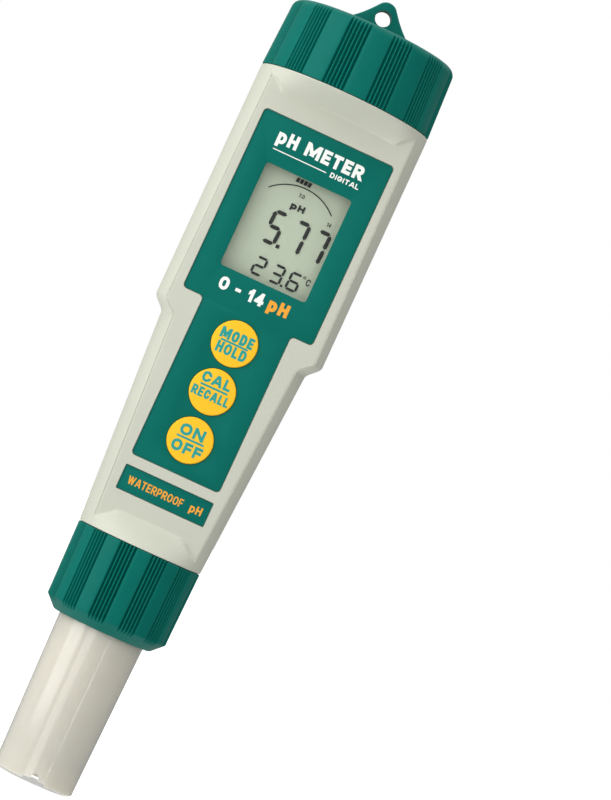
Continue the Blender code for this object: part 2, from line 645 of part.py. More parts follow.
def make_electrode_socket():
    """Threaded socket that the electrode plugs into, held by a flange between the shells."""
    flange_radius, flange_low, flange_high = SOCKET_FLANGE
    profile = [
        (SOCKET_BORE, SOCKET_BOTTOM), (SOCKET_RADIUS, SOCKET_BOTTOM), (SOCKET_RADIUS, flange_low),
        (flange_radius, flange_low), (flange_radius, flange_high), (7.0, flange_high),
        (7.0, SOCKET_WALL_HIGH), (0.0, SOCKET_WALL_HIGH), (0.0, SOCKET_WALL_LOW),
        (SOCKET_BORE, SOCKET_WALL_LOW),
    ]
    socket = solid("electrode_socket", turned(profile, even_columns(36)), "neck_plastic")
    front = tool("socket_cut_tool", block(-40.0, 40.0, -40.0, SOCKET_CUT, SOCKET_WALL_HIGH, 60.0))
    cut(socket, front)
    join(socket, tool("socket_thread_tool", thread(
        SOCKET_RADIUS, SOCKET_THREAD_CREST, SOCKET_THREAD_START, SOCKET_THREAD_TURNS)))
    for i, angle in enumerate(PIN_ANGLES):
        turn = math.radians(angle)
        centre = (PIN_RING * math.cos(turn), PIN_RING * math.sin(turn))
        hole = rod(1.15, SOCKET_WALL_LOW - 1.0, SOCKET_WALL_HIGH + 1.0, 12, centre)
        cut(socket, tool("socket_hole_tool_%d" % (i + 1), hole))
        sleeve = ring(0.6, 1.0, SOCKET_WALL_LOW - 2.1, SOCKET_WALL_HIGH + 1.8, 12, centre)
        solid("socket_contact_%d" % (i + 1), sleeve, "gold_plate")
    solid("collar_seal", torus((SOCKET_RADIUS + COLLAR_BORE) / 2.0, 0.42, 50.8), "seal_rubber")


def make_electrode_collar():
    profile = [
        (COLLAR_HOLE, COLLAR_BOTTOM), (10.7, COLLAR_BOTTOM), COLLAR_CORNER,
        (COLLAR_CORNER[0] + 0.003, COLLAR_CORNER[1] + 0.1, True),
        (COLLAR_RADIUS_TOP, COLLAR_TOP, True), (COLLAR_BORE, COLLAR_TOP),
        (COLLAR_BORE, COLLAR_SEAT), (COLLAR_HOLE, COLLAR_SEAT),
    ]
    collar = solid("electrode_collar", turned(profile, grip_columns(*COLLAR_GRIP)), "cap_plastic")
    ridge = thread(COLLAR_BORE, COLLAR_THREAD_CREST, SOCKET_THREAD_START + LEAD / 2.0,
                   COLLAR_THREAD_TURNS, COLLAR_THREAD_FIRST)
    join(collar, tool("collar_thread_tool", ridge))


def make_electrode():
    flange_radius, flange_low, flange_high = TUBE_FLANGE
    groove_radius, groove_low, groove_high = ORING_GROOVE
    profile = [
        (TUBE_BORE_LOW, 0.0), (TUBE_TIP_RADIUS, 0.0), (TUBE_RADIUS, COLLAR_BOTTOM),
        (TUBE_RADIUS, flange_low), (flange_radius, flange_low), (flange_radius, flange_high),
        (TUBE_SPIGOT, flange_high), (TUBE_SPIGOT, groove_low), (groove_radius, groove_low),
        (groove_radius, groove_high), (TUBE_SPIGOT, groove_high), (TUBE_SPIGOT, TUBE_TOP),
        (TUBE_BORE_HIGH, TUBE_TOP), (TUBE_BORE_HIGH, 35.0), (TUBE_BORE_LOW, 33.0),
    ]
    tube = solid("electrode_tube", turned(profile, even_columns(36)), "electrode_plastic")
    cut(tube, tool("rim_slot_tool", block(-2.35, 2.35, -20.0, -2.0, -1.0, 0.6)))
    notch = rounded([(-0.8, -1.0, 0.1), (0.8, -1.0, 0.1), (0.8, 1.9, 0.75), (-0.8, 1.9, 0.75)])
    cut(tube, tool("rim_notch_tool", plate(notch, -20.0, -2.0)))
    solid("electrode_oring", torus(7.75, 0.6, (groove_low + groove_high) / 2.0), "seal_rubber")

    junction = (SIDE_SENSOR_RING * math.cos(math.radians(JUNCTION_ANGLE)),
                SIDE_SENSOR_RING * math.sin(math.radians(JUNCTION_ANGLE)))
    probe = (SIDE_SENSOR_RING * math.cos(math.radians(PROBE_ANGLE)),
             SIDE_SENSOR_RING * math.sin(math.radians(PROBE_ANGLE)))
    holder = solid("sensor_holder", ring(BULB_RADIUS + 0.2, TUBE_BORE_LOW - 0.2, HOLDER_LOW,
                                         HOLDER_HIGH), "dark_plastic")
    cut(holder, tool("junction_hole_tool", rod(1.05, 0.0, 12.0, 12, junction)))
    cut(holder, tool("probe_hole_tool", rod(1.25, 0.0, 12.0, 12, probe)))
    solid("reference_junction", rod(0.9, 3.4, 8.6, 12, junction), "porous_ceramic")
    solid("temperature_probe", turned([(0.0, 1.8), (0.7, 2.0), (1.1, 2.7), (1.1, 10.0), (0.0, 10.0)],
                                      even_columns(12), probe), "steel")
    wall = 0.6
    bulb = [(0.0, BULB_BOTTOM), (1.7, BULB_BOTTOM + 0.35), (2.6, BULB_BOTTOM + 1.1),
            (BULB_RADIUS, BULB_BOTTOM + 2.4), (BULB_RADIUS, BULB_TOP),
            (BULB_RADIUS - wall, BULB_TOP), (BULB_RADIUS - wall, BULB_BOTTOM + 2.6),
            (2.0, BULB_BOTTOM + 1.5), (1.3, BULB_BOTTOM + 0.95), (0.0, BULB_BOTTOM + 0.65)]
    solid("sensor_glass", turned(bulb, even_columns(20)), "sensor_glass")
    solid("inner_silver_wire", rod(0.35, 5.5, 36.0, 8), "silver_wire")
    solid("outer_silver_wire", rod(0.35, 9.5, 36.0, 8, (0.0, 4.8)), "silver_wire")

    plug = solid("electrode_plug", rod(TUBE_BORE_HIGH - 0.2, 38.0, TUBE_TOP - 0.2, 32),
                 "dark_plastic")
    for i, angle in enumerate(PIN_ANGLES):
        turn = math.radians(angle)
        centre = (PIN_RING * math.cos(turn), PIN_RING * math.sin(turn))
        cut(plug, tool("pin_hole_tool_%d" % (i + 1), rod(0.65, 36.0, 50.0, 12, centre)))
        pin = turned([(0.0, 37.0), (0.45, 37.0), (0.45, 50.9), (0.25, 51.3), (0.0, 51.3)],
                     even_columns(10), centre)
        solid("contact_pin_%d" % (i + 1), pin, "gold_plate")


def main():
    clear_scene()
    frame = make_front_frame()
    make_housings(frame)
    make_panel(frame)
    make_display(frame)
    make_board(frame)
    make_keys(frame)
    make_battery_neck()
    make_battery_carrier()
    make_battery_cap()
    make_electrode_socket()
    make_electrode_collar()
    make_electrode()


main()
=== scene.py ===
"""Pocket pH meter: its surfaces, finishes, studio and camera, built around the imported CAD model.

Shapes are worked out in millimetres and turned to metres when a mesh is made. The front flat of the
body leans a little, so what lies on it is placed in the flat's own frame: x across, y the depth
behind the flat, z up along it.
"""

import json
import math

import bmesh
import bpy
from mathutils import Matrix, Vector


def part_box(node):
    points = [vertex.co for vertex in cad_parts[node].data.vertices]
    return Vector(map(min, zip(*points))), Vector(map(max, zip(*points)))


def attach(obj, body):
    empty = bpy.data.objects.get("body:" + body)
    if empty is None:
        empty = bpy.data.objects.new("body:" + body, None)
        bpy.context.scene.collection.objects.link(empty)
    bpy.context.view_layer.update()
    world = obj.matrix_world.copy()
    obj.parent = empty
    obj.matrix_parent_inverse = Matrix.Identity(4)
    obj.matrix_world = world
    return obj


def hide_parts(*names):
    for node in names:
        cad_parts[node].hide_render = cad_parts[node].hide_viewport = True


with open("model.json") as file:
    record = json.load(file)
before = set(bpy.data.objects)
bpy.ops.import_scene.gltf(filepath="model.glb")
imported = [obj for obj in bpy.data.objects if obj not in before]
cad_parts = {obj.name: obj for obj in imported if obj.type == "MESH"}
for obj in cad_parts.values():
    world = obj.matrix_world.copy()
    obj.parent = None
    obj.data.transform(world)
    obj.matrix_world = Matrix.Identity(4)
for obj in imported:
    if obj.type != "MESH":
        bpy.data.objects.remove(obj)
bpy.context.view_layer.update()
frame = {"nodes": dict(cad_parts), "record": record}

bl_info = {
    "name": "Pocket pH Meter",
    "version": (1, 0, 0),
    "blender": (4, 5, 0),
    "location": "3D View > Sidebar > pH Meter",
    "description": "Builds the surfaces of a pocket pH meter around its CAD model",
    "category": "Object",
}

MM = 0.001
TINY = 1e-6


def srgb(code):
    """An sRGB hex colour as linear red, green and blue."""
    levels = [int(code[i:i + 2], 16) / 255.0 for i in (0, 2, 4)]
    return tuple(c / 12.92 if c <= 0.04045 else ((c + 0.055) / 1.055) ** 2.4 for c in levels)


def box_mm(node):
    """Lowest and highest corner of a CAD node, in millimetres."""
    low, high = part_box(node)
    return low / MM, high / MM


# Body: a turned shape with a flat cut along its front
END_REACH = 0.18        # the body's ends come this much nearer to the cap and the collar
BODY_BOTTOM = box_mm("rear_housing")[0].z - END_REACH
BODY_TOP = box_mm("rear_housing")[1].z + END_REACH
BODY_RADIUS_BOTTOM = 13.4
BODY_TAPER = 0.0578
SHOULDER_LOW, SHOULDER_HIGH = 96.4, 99.9
BODY_RADIUS_TOP = 18.5
FLAT_DEPTH_AT_ZERO = 6.42
FLAT_SLOPE = 0.02
TOP_CREASE, TOP_CREASE_END = (146.3, 12.5), (149.1, 15.9)
BOTTOM_CREASE, BOTTOM_CREASE_END = (56.8, 6.9), (53.7, 11.05)
WALL = 2.0
RECESS = 0.62
FLAT = Matrix.Translation((0.0, -FLAT_DEPTH_AT_ZERO, 0.0)) @ Matrix.Rotation(math.atan(FLAT_SLOPE), 4, "X")
INWARD = Matrix.Rotation(-math.pi / 2.0, 4, "X")    # turns a turned shape's axis to point into the body

# Front panel
PANEL_NARROW, PANEL_WIDE = (9.64, 68.1), (14.26, 102.8, 142.3)
PANEL_CORNER = 0.9
WINDOW = (9.43, 110.0, 132.6)
LABEL = (9.57, 60.6, 65.7)
LENS = (10.3, 109.1, 133.5)
FILM_NEAR, FILM_FAR = 0.22, 0.5
PRINT_RAISE, PRINT_SUNK = 0.025, 0.01
KEY_HEIGHTS = {"mode": 96.6, "cal": 86.0, "power": 75.3}
KEY_LEGENDS = {"mode": ("MODE", "HOLD"), "cal": ("CAL", "RECALL"), "power": ("ON", "OFF")}
KEY_RADIUS = 4.76
KEY_HOLE = 4.84

# Caps
CAP_BOTTOM, CAP_TOP, CAP_SIDE_TOP = box_mm("battery_cap")[0].z, 166.0, 164.05
CAP_RADIUS, CAP_SIDE_TOP_RADIUS = 18.5, 17.93
CAP_BORE, CAP_CEILING = 16.75, 163.6
CAP_CORNER, CAP_RIM = 1.9, 0.3
CAP_ROWS, COLLAR_ROWS = (153.0, 156.0, 159.0, 162.0), (38.0, 42.0, 46.0, 50.0)
LUG_TOP = box_mm("battery_cap")[1].z
LUG_TOP_RADIUS, LUG_HALF_THICKNESS, LUG_HOLE = 2.3, 2.0, (169.4, 1.7)
COLLAR_BOTTOM, COLLAR_TOP = box_mm("electrode_collar")[0].z, box_mm("electrode_collar")[1].z
COLLAR_CORNER, COLLAR_RADIUS_TOP = (13.07, 35.5), 13.4
COLLAR_BORE, COLLAR_SEAT, COLLAR_HOLE = 11.6, 36.3, 9.5
THREAD_LEAD = 3.0
GROOVE_SHARPNESS = 1.4  # above 1 the grooves are narrower than the ribs between them
CAP_GRIP, COLLAR_GRIP = -13.2, -10.8      # middle of a first group of grooves, degrees from the front


def length(name, description, default):
    return bpy.props.FloatProperty(name=name, description=description, default=default,
                                   min=0.0, unit="LENGTH")


def pitch(name, description, degrees):
    return bpy.props.FloatProperty(name=name, description=description,
                                   default=math.radians(degrees), unit="ROTATION")


class MeterSizes(bpy.types.PropertyGroup):
    """Sizes of the meter's fine shapes."""

    crease_softness: length("Crease softness", "Rounding where an end facet leaves the flat", 0.00026)
    ridge_softness: length("Ridge softness", "Rounding of the long edges of the flat", 0.00035)
    groove_depth: length("Groove depth", "Depth of the grip grooves in the cap and collar", 0.0007)
    cap_groove_pitch: pitch("Cap groove pitch", "Angle from one cap groove to the next", 2.63)
    collar_groove_pitch: pitch("Collar groove pitch", "Angle from one collar groove to the next", 3.4)
    texture_grain: length("Housing grain", "Size of one pit of the housing's moulded texture", 0.00035)


def colour(name, description, code):
    return bpy.props.FloatVectorProperty(
        name=name, description=description, subtype="COLOR", size=3, min=0.0, max=1.0,
        default=srgb(code))


class MeterColours(bpy.types.PropertyGroup):
    """Colours of the meter's plastics and prints."""

    housing: colour("Housing", "Body plastic", "C4C6B7")
    cap: colour("Caps", "Battery cap and collar plastic", "00695E")
    film: colour("Panel film", "Printed panel and label", "00685D")
    key: colour("Keys", "Key faces", "FFC328")
    legend: colour("Key legends", "Print on the keys", "0A9A90")
    white_print: colour("White print", "Light lettering on the panel", "F6F7F2")
    orange_print: colour("Orange print", "Warm lettering on the label", "F2A426")
    display: colour("Display ground", "Ground of the liquid crystal display", "B2BEA8")
    segments: colour("Display segments", "Dark segments of the display", "141A17")
    electrode: colour("Electrode", "Electrode sheath plastic", "DDD8C9")


# ---------------------------------------------------------------- meshes

def piece(name, shape, material, body, replaces=(), matrix=None, sharp=32.0):
    """A piece from a bmesh in millimetres, riding on a body."""
    bmesh.ops.recalc_face_normals(shape, faces=shape.faces)
    if matrix:
        shape.transform(matrix)
    shape.transform(Matrix.Scale(MM, 4))
    mesh = bpy.data.meshes.new(name)
    shape.to_mesh(mesh)
    shape.free()
    mesh.shade_smooth()
    mesh.set_sharp_from_angle(angle=math.radians(sharp))
    mesh.materials.append(material)
    made = bpy.data.objects.new(name, mesh)
    bpy.context.scene.collection.objects.link(made)
    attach(made, body)
    if replaces:
        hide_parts(*replaces)
    return made


def mesh_of(shape):
    """A loose object in millimetres, for cutting and joining."""
    bmesh.ops.recalc_face_normals(shape, faces=shape.faces)
    mesh = bpy.data.meshes.new("loose")
    shape.to_mesh(mesh)
    shape.free()
    made = bpy.data.objects.new("loose", mesh)
    bpy.context.scene.collection.objects.link(made)
    return made


def combined(shape, steps):
    """The bmesh after each (operation, other bmesh) in turn."""
    base = mesh_of(shape)
    others = []
    for operation, other in steps:
        tool = mesh_of(other)
        others.append(tool)
        step = base.modifiers.new(operation, "BOOLEAN")
        step.object = tool
        step.operation = operation
        step.solver = "EXACT"
    result = evaluated(base)
    for item in (base, *others):
        bpy.data.objects.remove(item, do_unlink=True)
    return result


def evaluated(item):
    """A bmesh of the object with its modifiers applied."""
    bpy.context.view_layer.update()
    graph = bpy.context.evaluated_depsgraph_get()
    mesh = bpy.data.meshes.new_from_object(item.evaluated_get(graph))
    shape = bmesh.new()
    shape.from_mesh(mesh)
    bpy.data.meshes.remove(mesh)
    return shape


def softened(shape, width, segments=2, limit=40.0):
    """The bmesh with its sharp edges rounded."""
    item = mesh_of(shape)
    step = item.modifiers.new("edges", "BEVEL")
    step.width = width
    step.segments = segments
    step.limit_method = "ANGLE"
    step.angle_limit = math.radians(limit)
    step.harden_normals = False
    result = evaluated(item)
    bpy.data.objects.remove(item, do_unlink=True)
    return result


def loft(rings, ends=True, closed=False):
    """A skin over closed rings of points, with a flat face on each end or run round to its start."""
    shape = bmesh.new()
    loops = [[shape.verts.new(point) for point in ring] for ring in rings]
    count = len(loops[0])
    for low, high in zip(loops, loops[1:] + (loops[:1] if closed else [])):
        for k in range(count):
            n = (k + 1) % count
            shape.faces.new((low[k], low[n], high[n], high[k]))
    if ends:
        shape.faces.new(list(reversed(loops[0])))
        shape.faces.new(loops[-1])
    return shape


GROOVE_REACH = 1.0      # how far behind the side a profile's points still belong to it


def even_columns(count):
    return [(math.tau * i / count, 0.0) for i in range(count)]


def turned(profile, columns, centre=(0.0, 0.0), side=None):
    """A closed solid turned about Z. profile runs once around the section as (radius, height).
    columns are (angle, groove depth), and a groove cuts what stands out past side(height)."""
    shape = bmesh.new()
    rings = []
    for angle, depth in columns:
        ring = []
        for radius, height in profile:
            if radius < TINY:
                ring.append(None)
                continue
            if side and depth > 0.0 and radius > side(height) - GROOVE_REACH:
                radius = min(radius, side(height) - depth)
            ring.append(shape.verts.new((centre[0] + radius * math.cos(angle),
                                         centre[1] + radius * math.sin(angle), height)))
        rings.append(ring)
    for k, point in enumerate(profile):
        n = (k + 1) % len(profile)
        after = profile[n]
        if point[0] < TINY and after[0] < TINY:
            continue
        if point[0] < TINY or after[0] < TINY:
            on_axis, edge = (k, n) if point[0] < TINY else (n, k)
            height = profile[on_axis][1]
            if abs(height - profile[edge][1]) < TINY:
                shape.faces.new([ring[edge] for ring in rings])
                continue
            pole = shape.verts.new((centre[0], centre[1], height))
            for i, ring in enumerate(rings):
                shape.faces.new((ring[edge], rings[(i + 1) % len(rings)][edge], pole))
            continue
        for i, ring in enumerate(rings):
            other = rings[(i + 1) % len(rings)]
            shape.faces.new((ring[k], other[k], other[n], ring[n]))
    return shape


def cylinder(radius, low, high, columns=72):
    return turned([(0.0, low), (radius, low), (radius, high), (0.0, high)], even_columns(columns))


def into_front(shape, height):
    """Points a turned shape's axis into the body at a height of the flat's frame."""
    shape.transform(Matrix.Translation((0.0, 0.0, height)) @ INWARD)
    return shape


def arc(centre, reach, start, end, steps):
    """Points on an arc, angles in degrees. reach is a radius, or one for each way across."""
    reach_x, reach_z = reach if isinstance(reach, tuple) else (reach, reach)
    points = []
    for i in range(steps + 1):
        angle = math.radians(start + (end - start) * i / steps)
        points.append((centre[0] + reach_x * math.cos(angle), centre[1] + reach_z * math.sin(angle)))
    return points


def plate(outline, near, far, edge=0.0):
    """A flat plate with its outline in x and z, from y = near to y = far, its near edge chamfered."""
    rings = [[(x, far, z) for x, z in outline], [(x, near + edge, z) for x, z in outline]]
    if edge:
        rings.append([(x, near, z) for x, z in offset(outline, -edge)])
    return loft(rings)


def offset(outline, distance):
    """The outline moved outwards by distance."""
    area = sum(a[0] * b[1] - b[0] * a[1] for a, b in zip(outline, outline[1:] + outline[:1]))
    sign = 1.0 if area > 0.0 else -1.0
    moved = []
    count = len(outline)
    for i, here in enumerate(outline):
        before = Vector(here) - Vector(outline[i - 1])
        after = Vector(outline[(i + 1) % count]) - Vector(here)
        before.normalize()
        after.normalize()
        middle = before + after
        middle.normalize()
        normal = Vector((middle.y, -middle.x)) * sign
        stretch = 1.0 / max(0.5, normal.dot(Vector((before.y, -before.x)) * sign))
        moved.append(tuple(Vector(here) + normal * distance * stretch))
    return moved


def rounded(corners, steps=6):
    """An outline whose corners (x, z, radius) are turned to arcs."""
    outline = []
    count = len(corners)
    for i, (x, z, radius) in enumerate(corners):
        here = Vector((x, z))
        back = (Vector(corners[i - 1][:2]) - here).normalized()
        ahead = (Vector(corners[(i + 1) % count][:2]) - here).normalized()
        half = back.angle(ahead) / 2.0
        centre = here + (back + ahead).normalized() * (radius / math.sin(half))
        start = here + back * (radius / math.tan(half)) - centre
        sweep = math.pi - 2.0 * half
        if start.x * back.y - start.y * back.x > 0.0:
            sweep = -sweep
        for k in range(steps + 1):
            angle = sweep * k / steps
            outline.append((centre.x + start.x * math.cos(angle) - start.y * math.sin(angle),
                            centre.y + start.x * math.sin(angle) + start.y * math.cos(angle)))
    return outline


def rectangle(half, low, high, corner, margin=0.0):
    return rounded([(-half - margin, low - margin, corner), (half + margin, low - margin, corner),
                    (half + margin, high + margin, corner), (-half - margin, high + margin, corner)])


def stepped(narrow, wide, corner, margin=0.0):
    """The outline of a plate that is wider in its upper part."""
    half_low, low = narrow[0] + margin, narrow[1] - margin
    half_high, step, high = wide[0] + margin, wide[1] - margin, wide[2] + margin
    return rounded([(-half_low, low, corner), (half_low, low, corner), (half_low, step, corner),
                    (half_high, step, corner), (half_high, high, corner),
                    (-half_high, high, corner), (-half_high, step, corner),
                    (-half_low, step, corner)])


LETTER_STEPS = 16
LOOP_REACH = (0.5, 0.38)        # a round letter is two halves around these middles
LOOP_LOW, LOOP_HIGH = (0.5, 0.38), (0.5, 0.62)


def bowl(low, high, flat=0.5):
    """The round side of a letter such as D or P, from its top left to its bottom left."""
    middle, reach = (low + high) / 2.0, (high - low) / 2.0
    turn = arc((flat, middle), (1.0 - flat, reach), 90.0, -90.0, LETTER_STEPS - 2)
    return [(0.0, high)] + turn + [(0.0, low)]


def round_letter(start=0.0, end=360.0):
    """The loop of an O, or part of it for an open letter such as C."""
    return (arc(LOOP_HIGH, LOOP_REACH, start, 180.0, LETTER_STEPS)
            + arc(LOOP_LOW, LOOP_REACH, 180.0, end, LETTER_STEPS))


LEFT, RIGHT = [(0.0, 0.0), (0.0, 1.0)], [(1.0, 0.0), (1.0, 1.0)]
LOOP = "loop"
# Each letter: its width for a height of 1, and the middle lines of its strokes in a unit square
LETTERS = {
    "A": (0.92, [[(0.0, 0.0), (0.4, 1.0)], [(0.6, 1.0), (1.0, 0.0)], [(0.2, 0.26), (0.8, 0.26)]]),
    "C": (0.82, [round_letter(24.0, 336.0)]),
    "D": (0.82, [[LOOP] + bowl(0.0, 1.0)]),
    "E": (0.7, [LEFT, [(0.0, 0.0), (1.0, 0.0)], [(0.0, 0.5), (0.9, 0.5)], [(0.0, 1.0), (1.0, 1.0)]]),
    "F": (0.68, [LEFT, [(0.0, 0.5), (0.9, 0.5)], [(0.0, 1.0), (1.0, 1.0)]]),
    "G": (0.84, [round_letter(24.0, 356.0) + [(1.0, 0.44)], [(0.55, 0.44), (1.0, 0.44)]]),
    "H": (0.8, [LEFT, RIGHT, [(0.0, 0.5), (1.0, 0.5)]]),
    "I": (0.26, [[(0.5, 0.0), (0.5, 1.0)]]),
    "L": (0.66, [LEFT, [(0.0, 0.0), (1.0, 0.0)]]),
    "M": (1.24, [LEFT, RIGHT, [(0.12, 0.94), (0.5, 0.16)], [(0.5, 0.16), (0.88, 0.94)]]),
    "N": (0.84, [LEFT, RIGHT, [(0.12, 0.94), (0.88, 0.06)]]),
    "O": (0.86, [[LOOP] + round_letter()]),
    "P": (0.76, [LEFT, [LOOP] + bowl(0.42, 1.0, 0.6)]),
    "R": (0.8, [LEFT, [LOOP] + bowl(0.44, 1.0, 0.6), [(0.5, 0.44), (1.0, 0.0)]]),
    "T": (0.76, [[(0.5, 0.0), (0.5, 1.0)], [(0.0, 1.0), (1.0, 1.0)]]),
    "W": (1.2, [[(0.0, 1.0), (0.25, 0.0)], [(0.26, 0.0), (0.48, 1.0)],
                [(0.52, 1.0), (0.74, 0.0)], [(0.75, 0.0), (1.0, 1.0)]]),
    "p": (0.74, [[(0.0, -0.32), (0.0, 0.72)], [LOOP] + bowl(0.0, 0.72, 0.5)]),
    "0": (0.86, [[LOOP] + round_letter()]),
    "1": (0.56, [[(0.8, 0.0), (0.8, 1.0)], [(0.12, 0.78), (0.66, 0.9)]]),
    "4": (0.8, [[(0.74, 0.0), (0.74, 1.0)], [(0.0, 0.26), (1.0, 0.26)], [(0.06, 0.32), (0.62, 0.93)]]),
    "7": (0.7, [[(0.0, 1.0), (1.0, 1.0)], [(1.0, 1.0), (0.35, 0.0)]]),
    ".": (0.2, [[(0.5, 0.0), (0.5, 0.02)]]),
    "-": (0.5, [[(0.0, 0.42), (1.0, 0.42)]]),
    " ": (0.34, []),
}
LETTER_GAP = 0.16


def stroke_sections(points, half, closed):
    """Where a stroke's two edges run: pairs of points either side of its middle line."""
    path = [Vector(point) for point in points]
    count = len(path)
    pairs = []
    for i, here in enumerate(path):
        first, last = i == 0 and not closed, i == count - 1 and not closed
        before = (here - path[i - 1]).normalized() if not first else None
        after = (path[(i + 1) % count] - here).normalized() if not last else None
        before, after = before or after, after or before
        along = (before + after).normalized()
        normal = Vector((-along.y, along.x))
        if first or last:
            level = Vector((1.0, 0.0)) if abs(along.y) > abs(along.x) * 0.8 else Vector((0.0, 1.0))
            lean = normal.dot(level)
            side = level * (half / lean)
            reach = half / max(abs(along.x), abs(along.y))
            here = here + along * (reach if last else -reach)
        else:
            side = normal * (half / max(0.6, before.dot(along)))
        pairs.append((here - side, here + side))
    return pairs


def stroke(points, half, near, far):
    """One stroke of a letter as a thin solid, from y = near to y = far."""
    closed = points[0] == LOOP
    pairs = stroke_sections(points[1:] if closed else points, half, closed)
    rings = [[(a.x, near, a.y), (b.x, near, b.y), (b.x, far, b.y), (a.x, far, a.y)]
             for a, b in pairs]
    return loft(rings, ends=not closed, closed=closed)


def lettering(name, words, place, size, weight, depth, material, body):
    """Printed words as thin solids in the flat's frame. place is the middle across and the
    baseline, size the width and cap height, weight the strokes' thickness, all in mm."""
    width, height = size
    half = weight / 2.0
    units = sum(LETTERS[letter][0] for letter in words) + LETTER_GAP * (len(words) - 1)
    across = width / units
    left = place[0] - width / 2.0
    solids = []
    for letter in words:
        wide, strokes = LETTERS[letter]
        for points in strokes:
            marks = []
            for point in points:
                if point == LOOP:
                    marks.append(LOOP)
                    continue
                x = left + half + point[0] * max(wide * across - weight, 0.0)
                marks.append((x, place[1] + half + point[1] * (height - weight)))
            solids.append(stroke(marks, half, depth - PRINT_RAISE, depth + PRINT_SUNK))
        left += (wide + LETTER_GAP) * across
    joined = combined(solids[0], [("UNION", other) for other in solids[1:]])
    return piece(name, joined, material, body, matrix=FLAT)


# ---------------------------------------------------------------- finishes

def new_material(name):
    """An empty material with a Principled shader; gives the material, its nodes and the shader."""
    made = bpy.data.materials.new(name)
    made.use_nodes = True
    tree = made.node_tree
    shader = next(n for n in tree.nodes if n.type == "BSDF_PRINCIPLED")
    return made, tree, shader


def add(tree, kind, settings=None, inputs=None, into=None):
    """Adds a node with its settings and inputs, and links its first output into a socket."""
    node = tree.nodes.new(kind)
    for key, value in (settings or {}).items():
        setattr(node, key, value)
    for key, value in (inputs or {}).items():
        if isinstance(value, bpy.types.NodeSocket):
            tree.links.new(value, node.inputs[key])
        else:
            node.inputs[key].default_value = value
    if into is not None:
        tree.links.new(node.outputs[0], into)
    return node


def per_metre(size_mm):
    """Scale of a noise whose features are about size_mm across."""
    return 1.0 / (size_mm * MM)


def places(tree):
    return add(tree, "ShaderNodeTexCoord").outputs["Object"]


def grain(tree, shader, size_mm, depth_mm, strength=1.0, detail=2.0):
    """A bump of small pits over the surface."""
    noise = add(tree, "ShaderNodeTexNoise", None,
                {"Vector": places(tree), "Scale": per_metre(size_mm), "Detail": detail,
                 "Roughness": 0.55})
    add(tree, "ShaderNodeBump", None,
        {"Height": noise.outputs["Fac"], "Distance": depth_mm * MM, "Strength": strength},
        shader.inputs["Normal"])


def mottle(tree, shader, code_or_rgb, amount, size_mm):
    """The base colour, varied a little lighter and darker in soft patches."""
    base = srgb(code_or_rgb) if isinstance(code_or_rgb, str) else tuple(code_or_rgb)
    noise = add(tree, "ShaderNodeTexNoise", None,
                {"Vector": places(tree), "Scale": per_metre(size_mm), "Detail": 3.0})
    ramp = add(tree, "ShaderNodeValToRGB", None, {"Fac": noise.outputs["Fac"]},
               shader.inputs["Base Color"])
    low, high = ramp.color_ramp.elements
    low.position, high.position = 0.3, 0.7
    low.color = (*(c * (1.0 - amount) for c in base), 1.0)
    high.color = (*(min(c * (1.0 + amount), 1.0) for c in base), 1.0)


def uneven_gloss(tree, shader, low, high, size_mm):
    """Roughness that drifts between two values, as handled plastic does."""
    noise = add(tree, "ShaderNodeTexNoise", None,
                {"Vector": places(tree), "Scale": per_metre(size_mm), "Detail": 4.0})
    add(tree, "ShaderNodeMapRange", None,
        {"Value": noise.outputs["Fac"], "From Min": 0.3, "From Max": 0.7,
         "To Min": low, "To Max": high}, shader.inputs["Roughness"])


def moulded(name, base, patches, gloss, pits=None, sockets=None):
    """A plain finish: base colour in patches (amount, size in mm), gloss as a roughness or as
    (low, high, size in mm), pits as grain takes them, and the values of other sockets."""
    made, tree, shader = new_material(name)
    mottle(tree, shader, base, *patches)
    if isinstance(gloss, tuple):
        uneven_gloss(tree, shader, *gloss)
    else:
        shader.inputs["Roughness"].default_value = gloss
    if pits:
        grain(tree, shader, *pits)
    for socket, value in (sockets or {}).items():
        shader.inputs[socket].default_value = value
    return made


def abs_spark_eroded(look):
    """Off-white ABS from a spark-eroded mould: a fine dry grain that breaks up highlights."""
    pit = bpy.context.scene.meter_sizes.texture_grain / MM
    return moulded("abs_spark_eroded", look.housing, (0.012, 9.0), (0.5, 0.6, 6.0),
                   (pit, 0.045, 0.8), {"IOR": 1.53})


def polypropylene_moulded(look):
    """Teal polypropylene with a satin moulded skin: a broad soft sheen on ribs and rims."""
    return moulded("polypropylene_moulded", look.cap, (0.03, 5.0), (0.36, 0.46, 4.0),
                   (0.4, 0.012, 0.5), {"IOR": 1.49, "Specular IOR Level": 0.1})


def polyester_film_printed(look):
    """Back-printed polyester film: an even colour under a fine satin face."""
    return moulded("polyester_film_printed", look.film, (0.02, 3.0), (0.55, 0.62, 8.0),
                   (0.22, 0.006, 0.6), {"IOR": 1.57, "Specular IOR Level": 0.08})


def silicone_rubber_moulded(look):
    """Yellow silicone rubber: a soft matt face with hardly any shine."""
    return moulded("silicone_rubber_moulded", look.key, (0.015, 2.5), 0.52, (0.25, 0.008, 0.5),
                   {"IOR": 1.43, "Specular IOR Level": 0.25})


def ink_screen_printed(name, rgb):
    """Screen-printed ink: opaque, satin, with a slightly uneven film."""
    return moulded("ink_screen_printed_" + name, rgb, (0.03, 0.6), 0.45, (0.2, 0.004, 0.5))


def display_reflector(look):
    """Brushed foil behind the liquid crystal cell: grey-green with a fine pearly grain, and
    a painted glow, a little light of its own that makes the ground lighter than the lamps alone do."""
    return moulded("display_reflector", look.display, (0.035, 0.3), 0.5, (0.18, 0.006, 0.6),
                   # Emission: painted glow that lightens the display ground
                   {"Emission Color": (*look.display, 1.0), "Emission Strength": 0.16})


def display_segment(look):
    """Driven liquid crystal: a near-black green that reads crisp against the ground."""
    return moulded("display_segment", look.segments, (0.08, 0.5), 0.4)


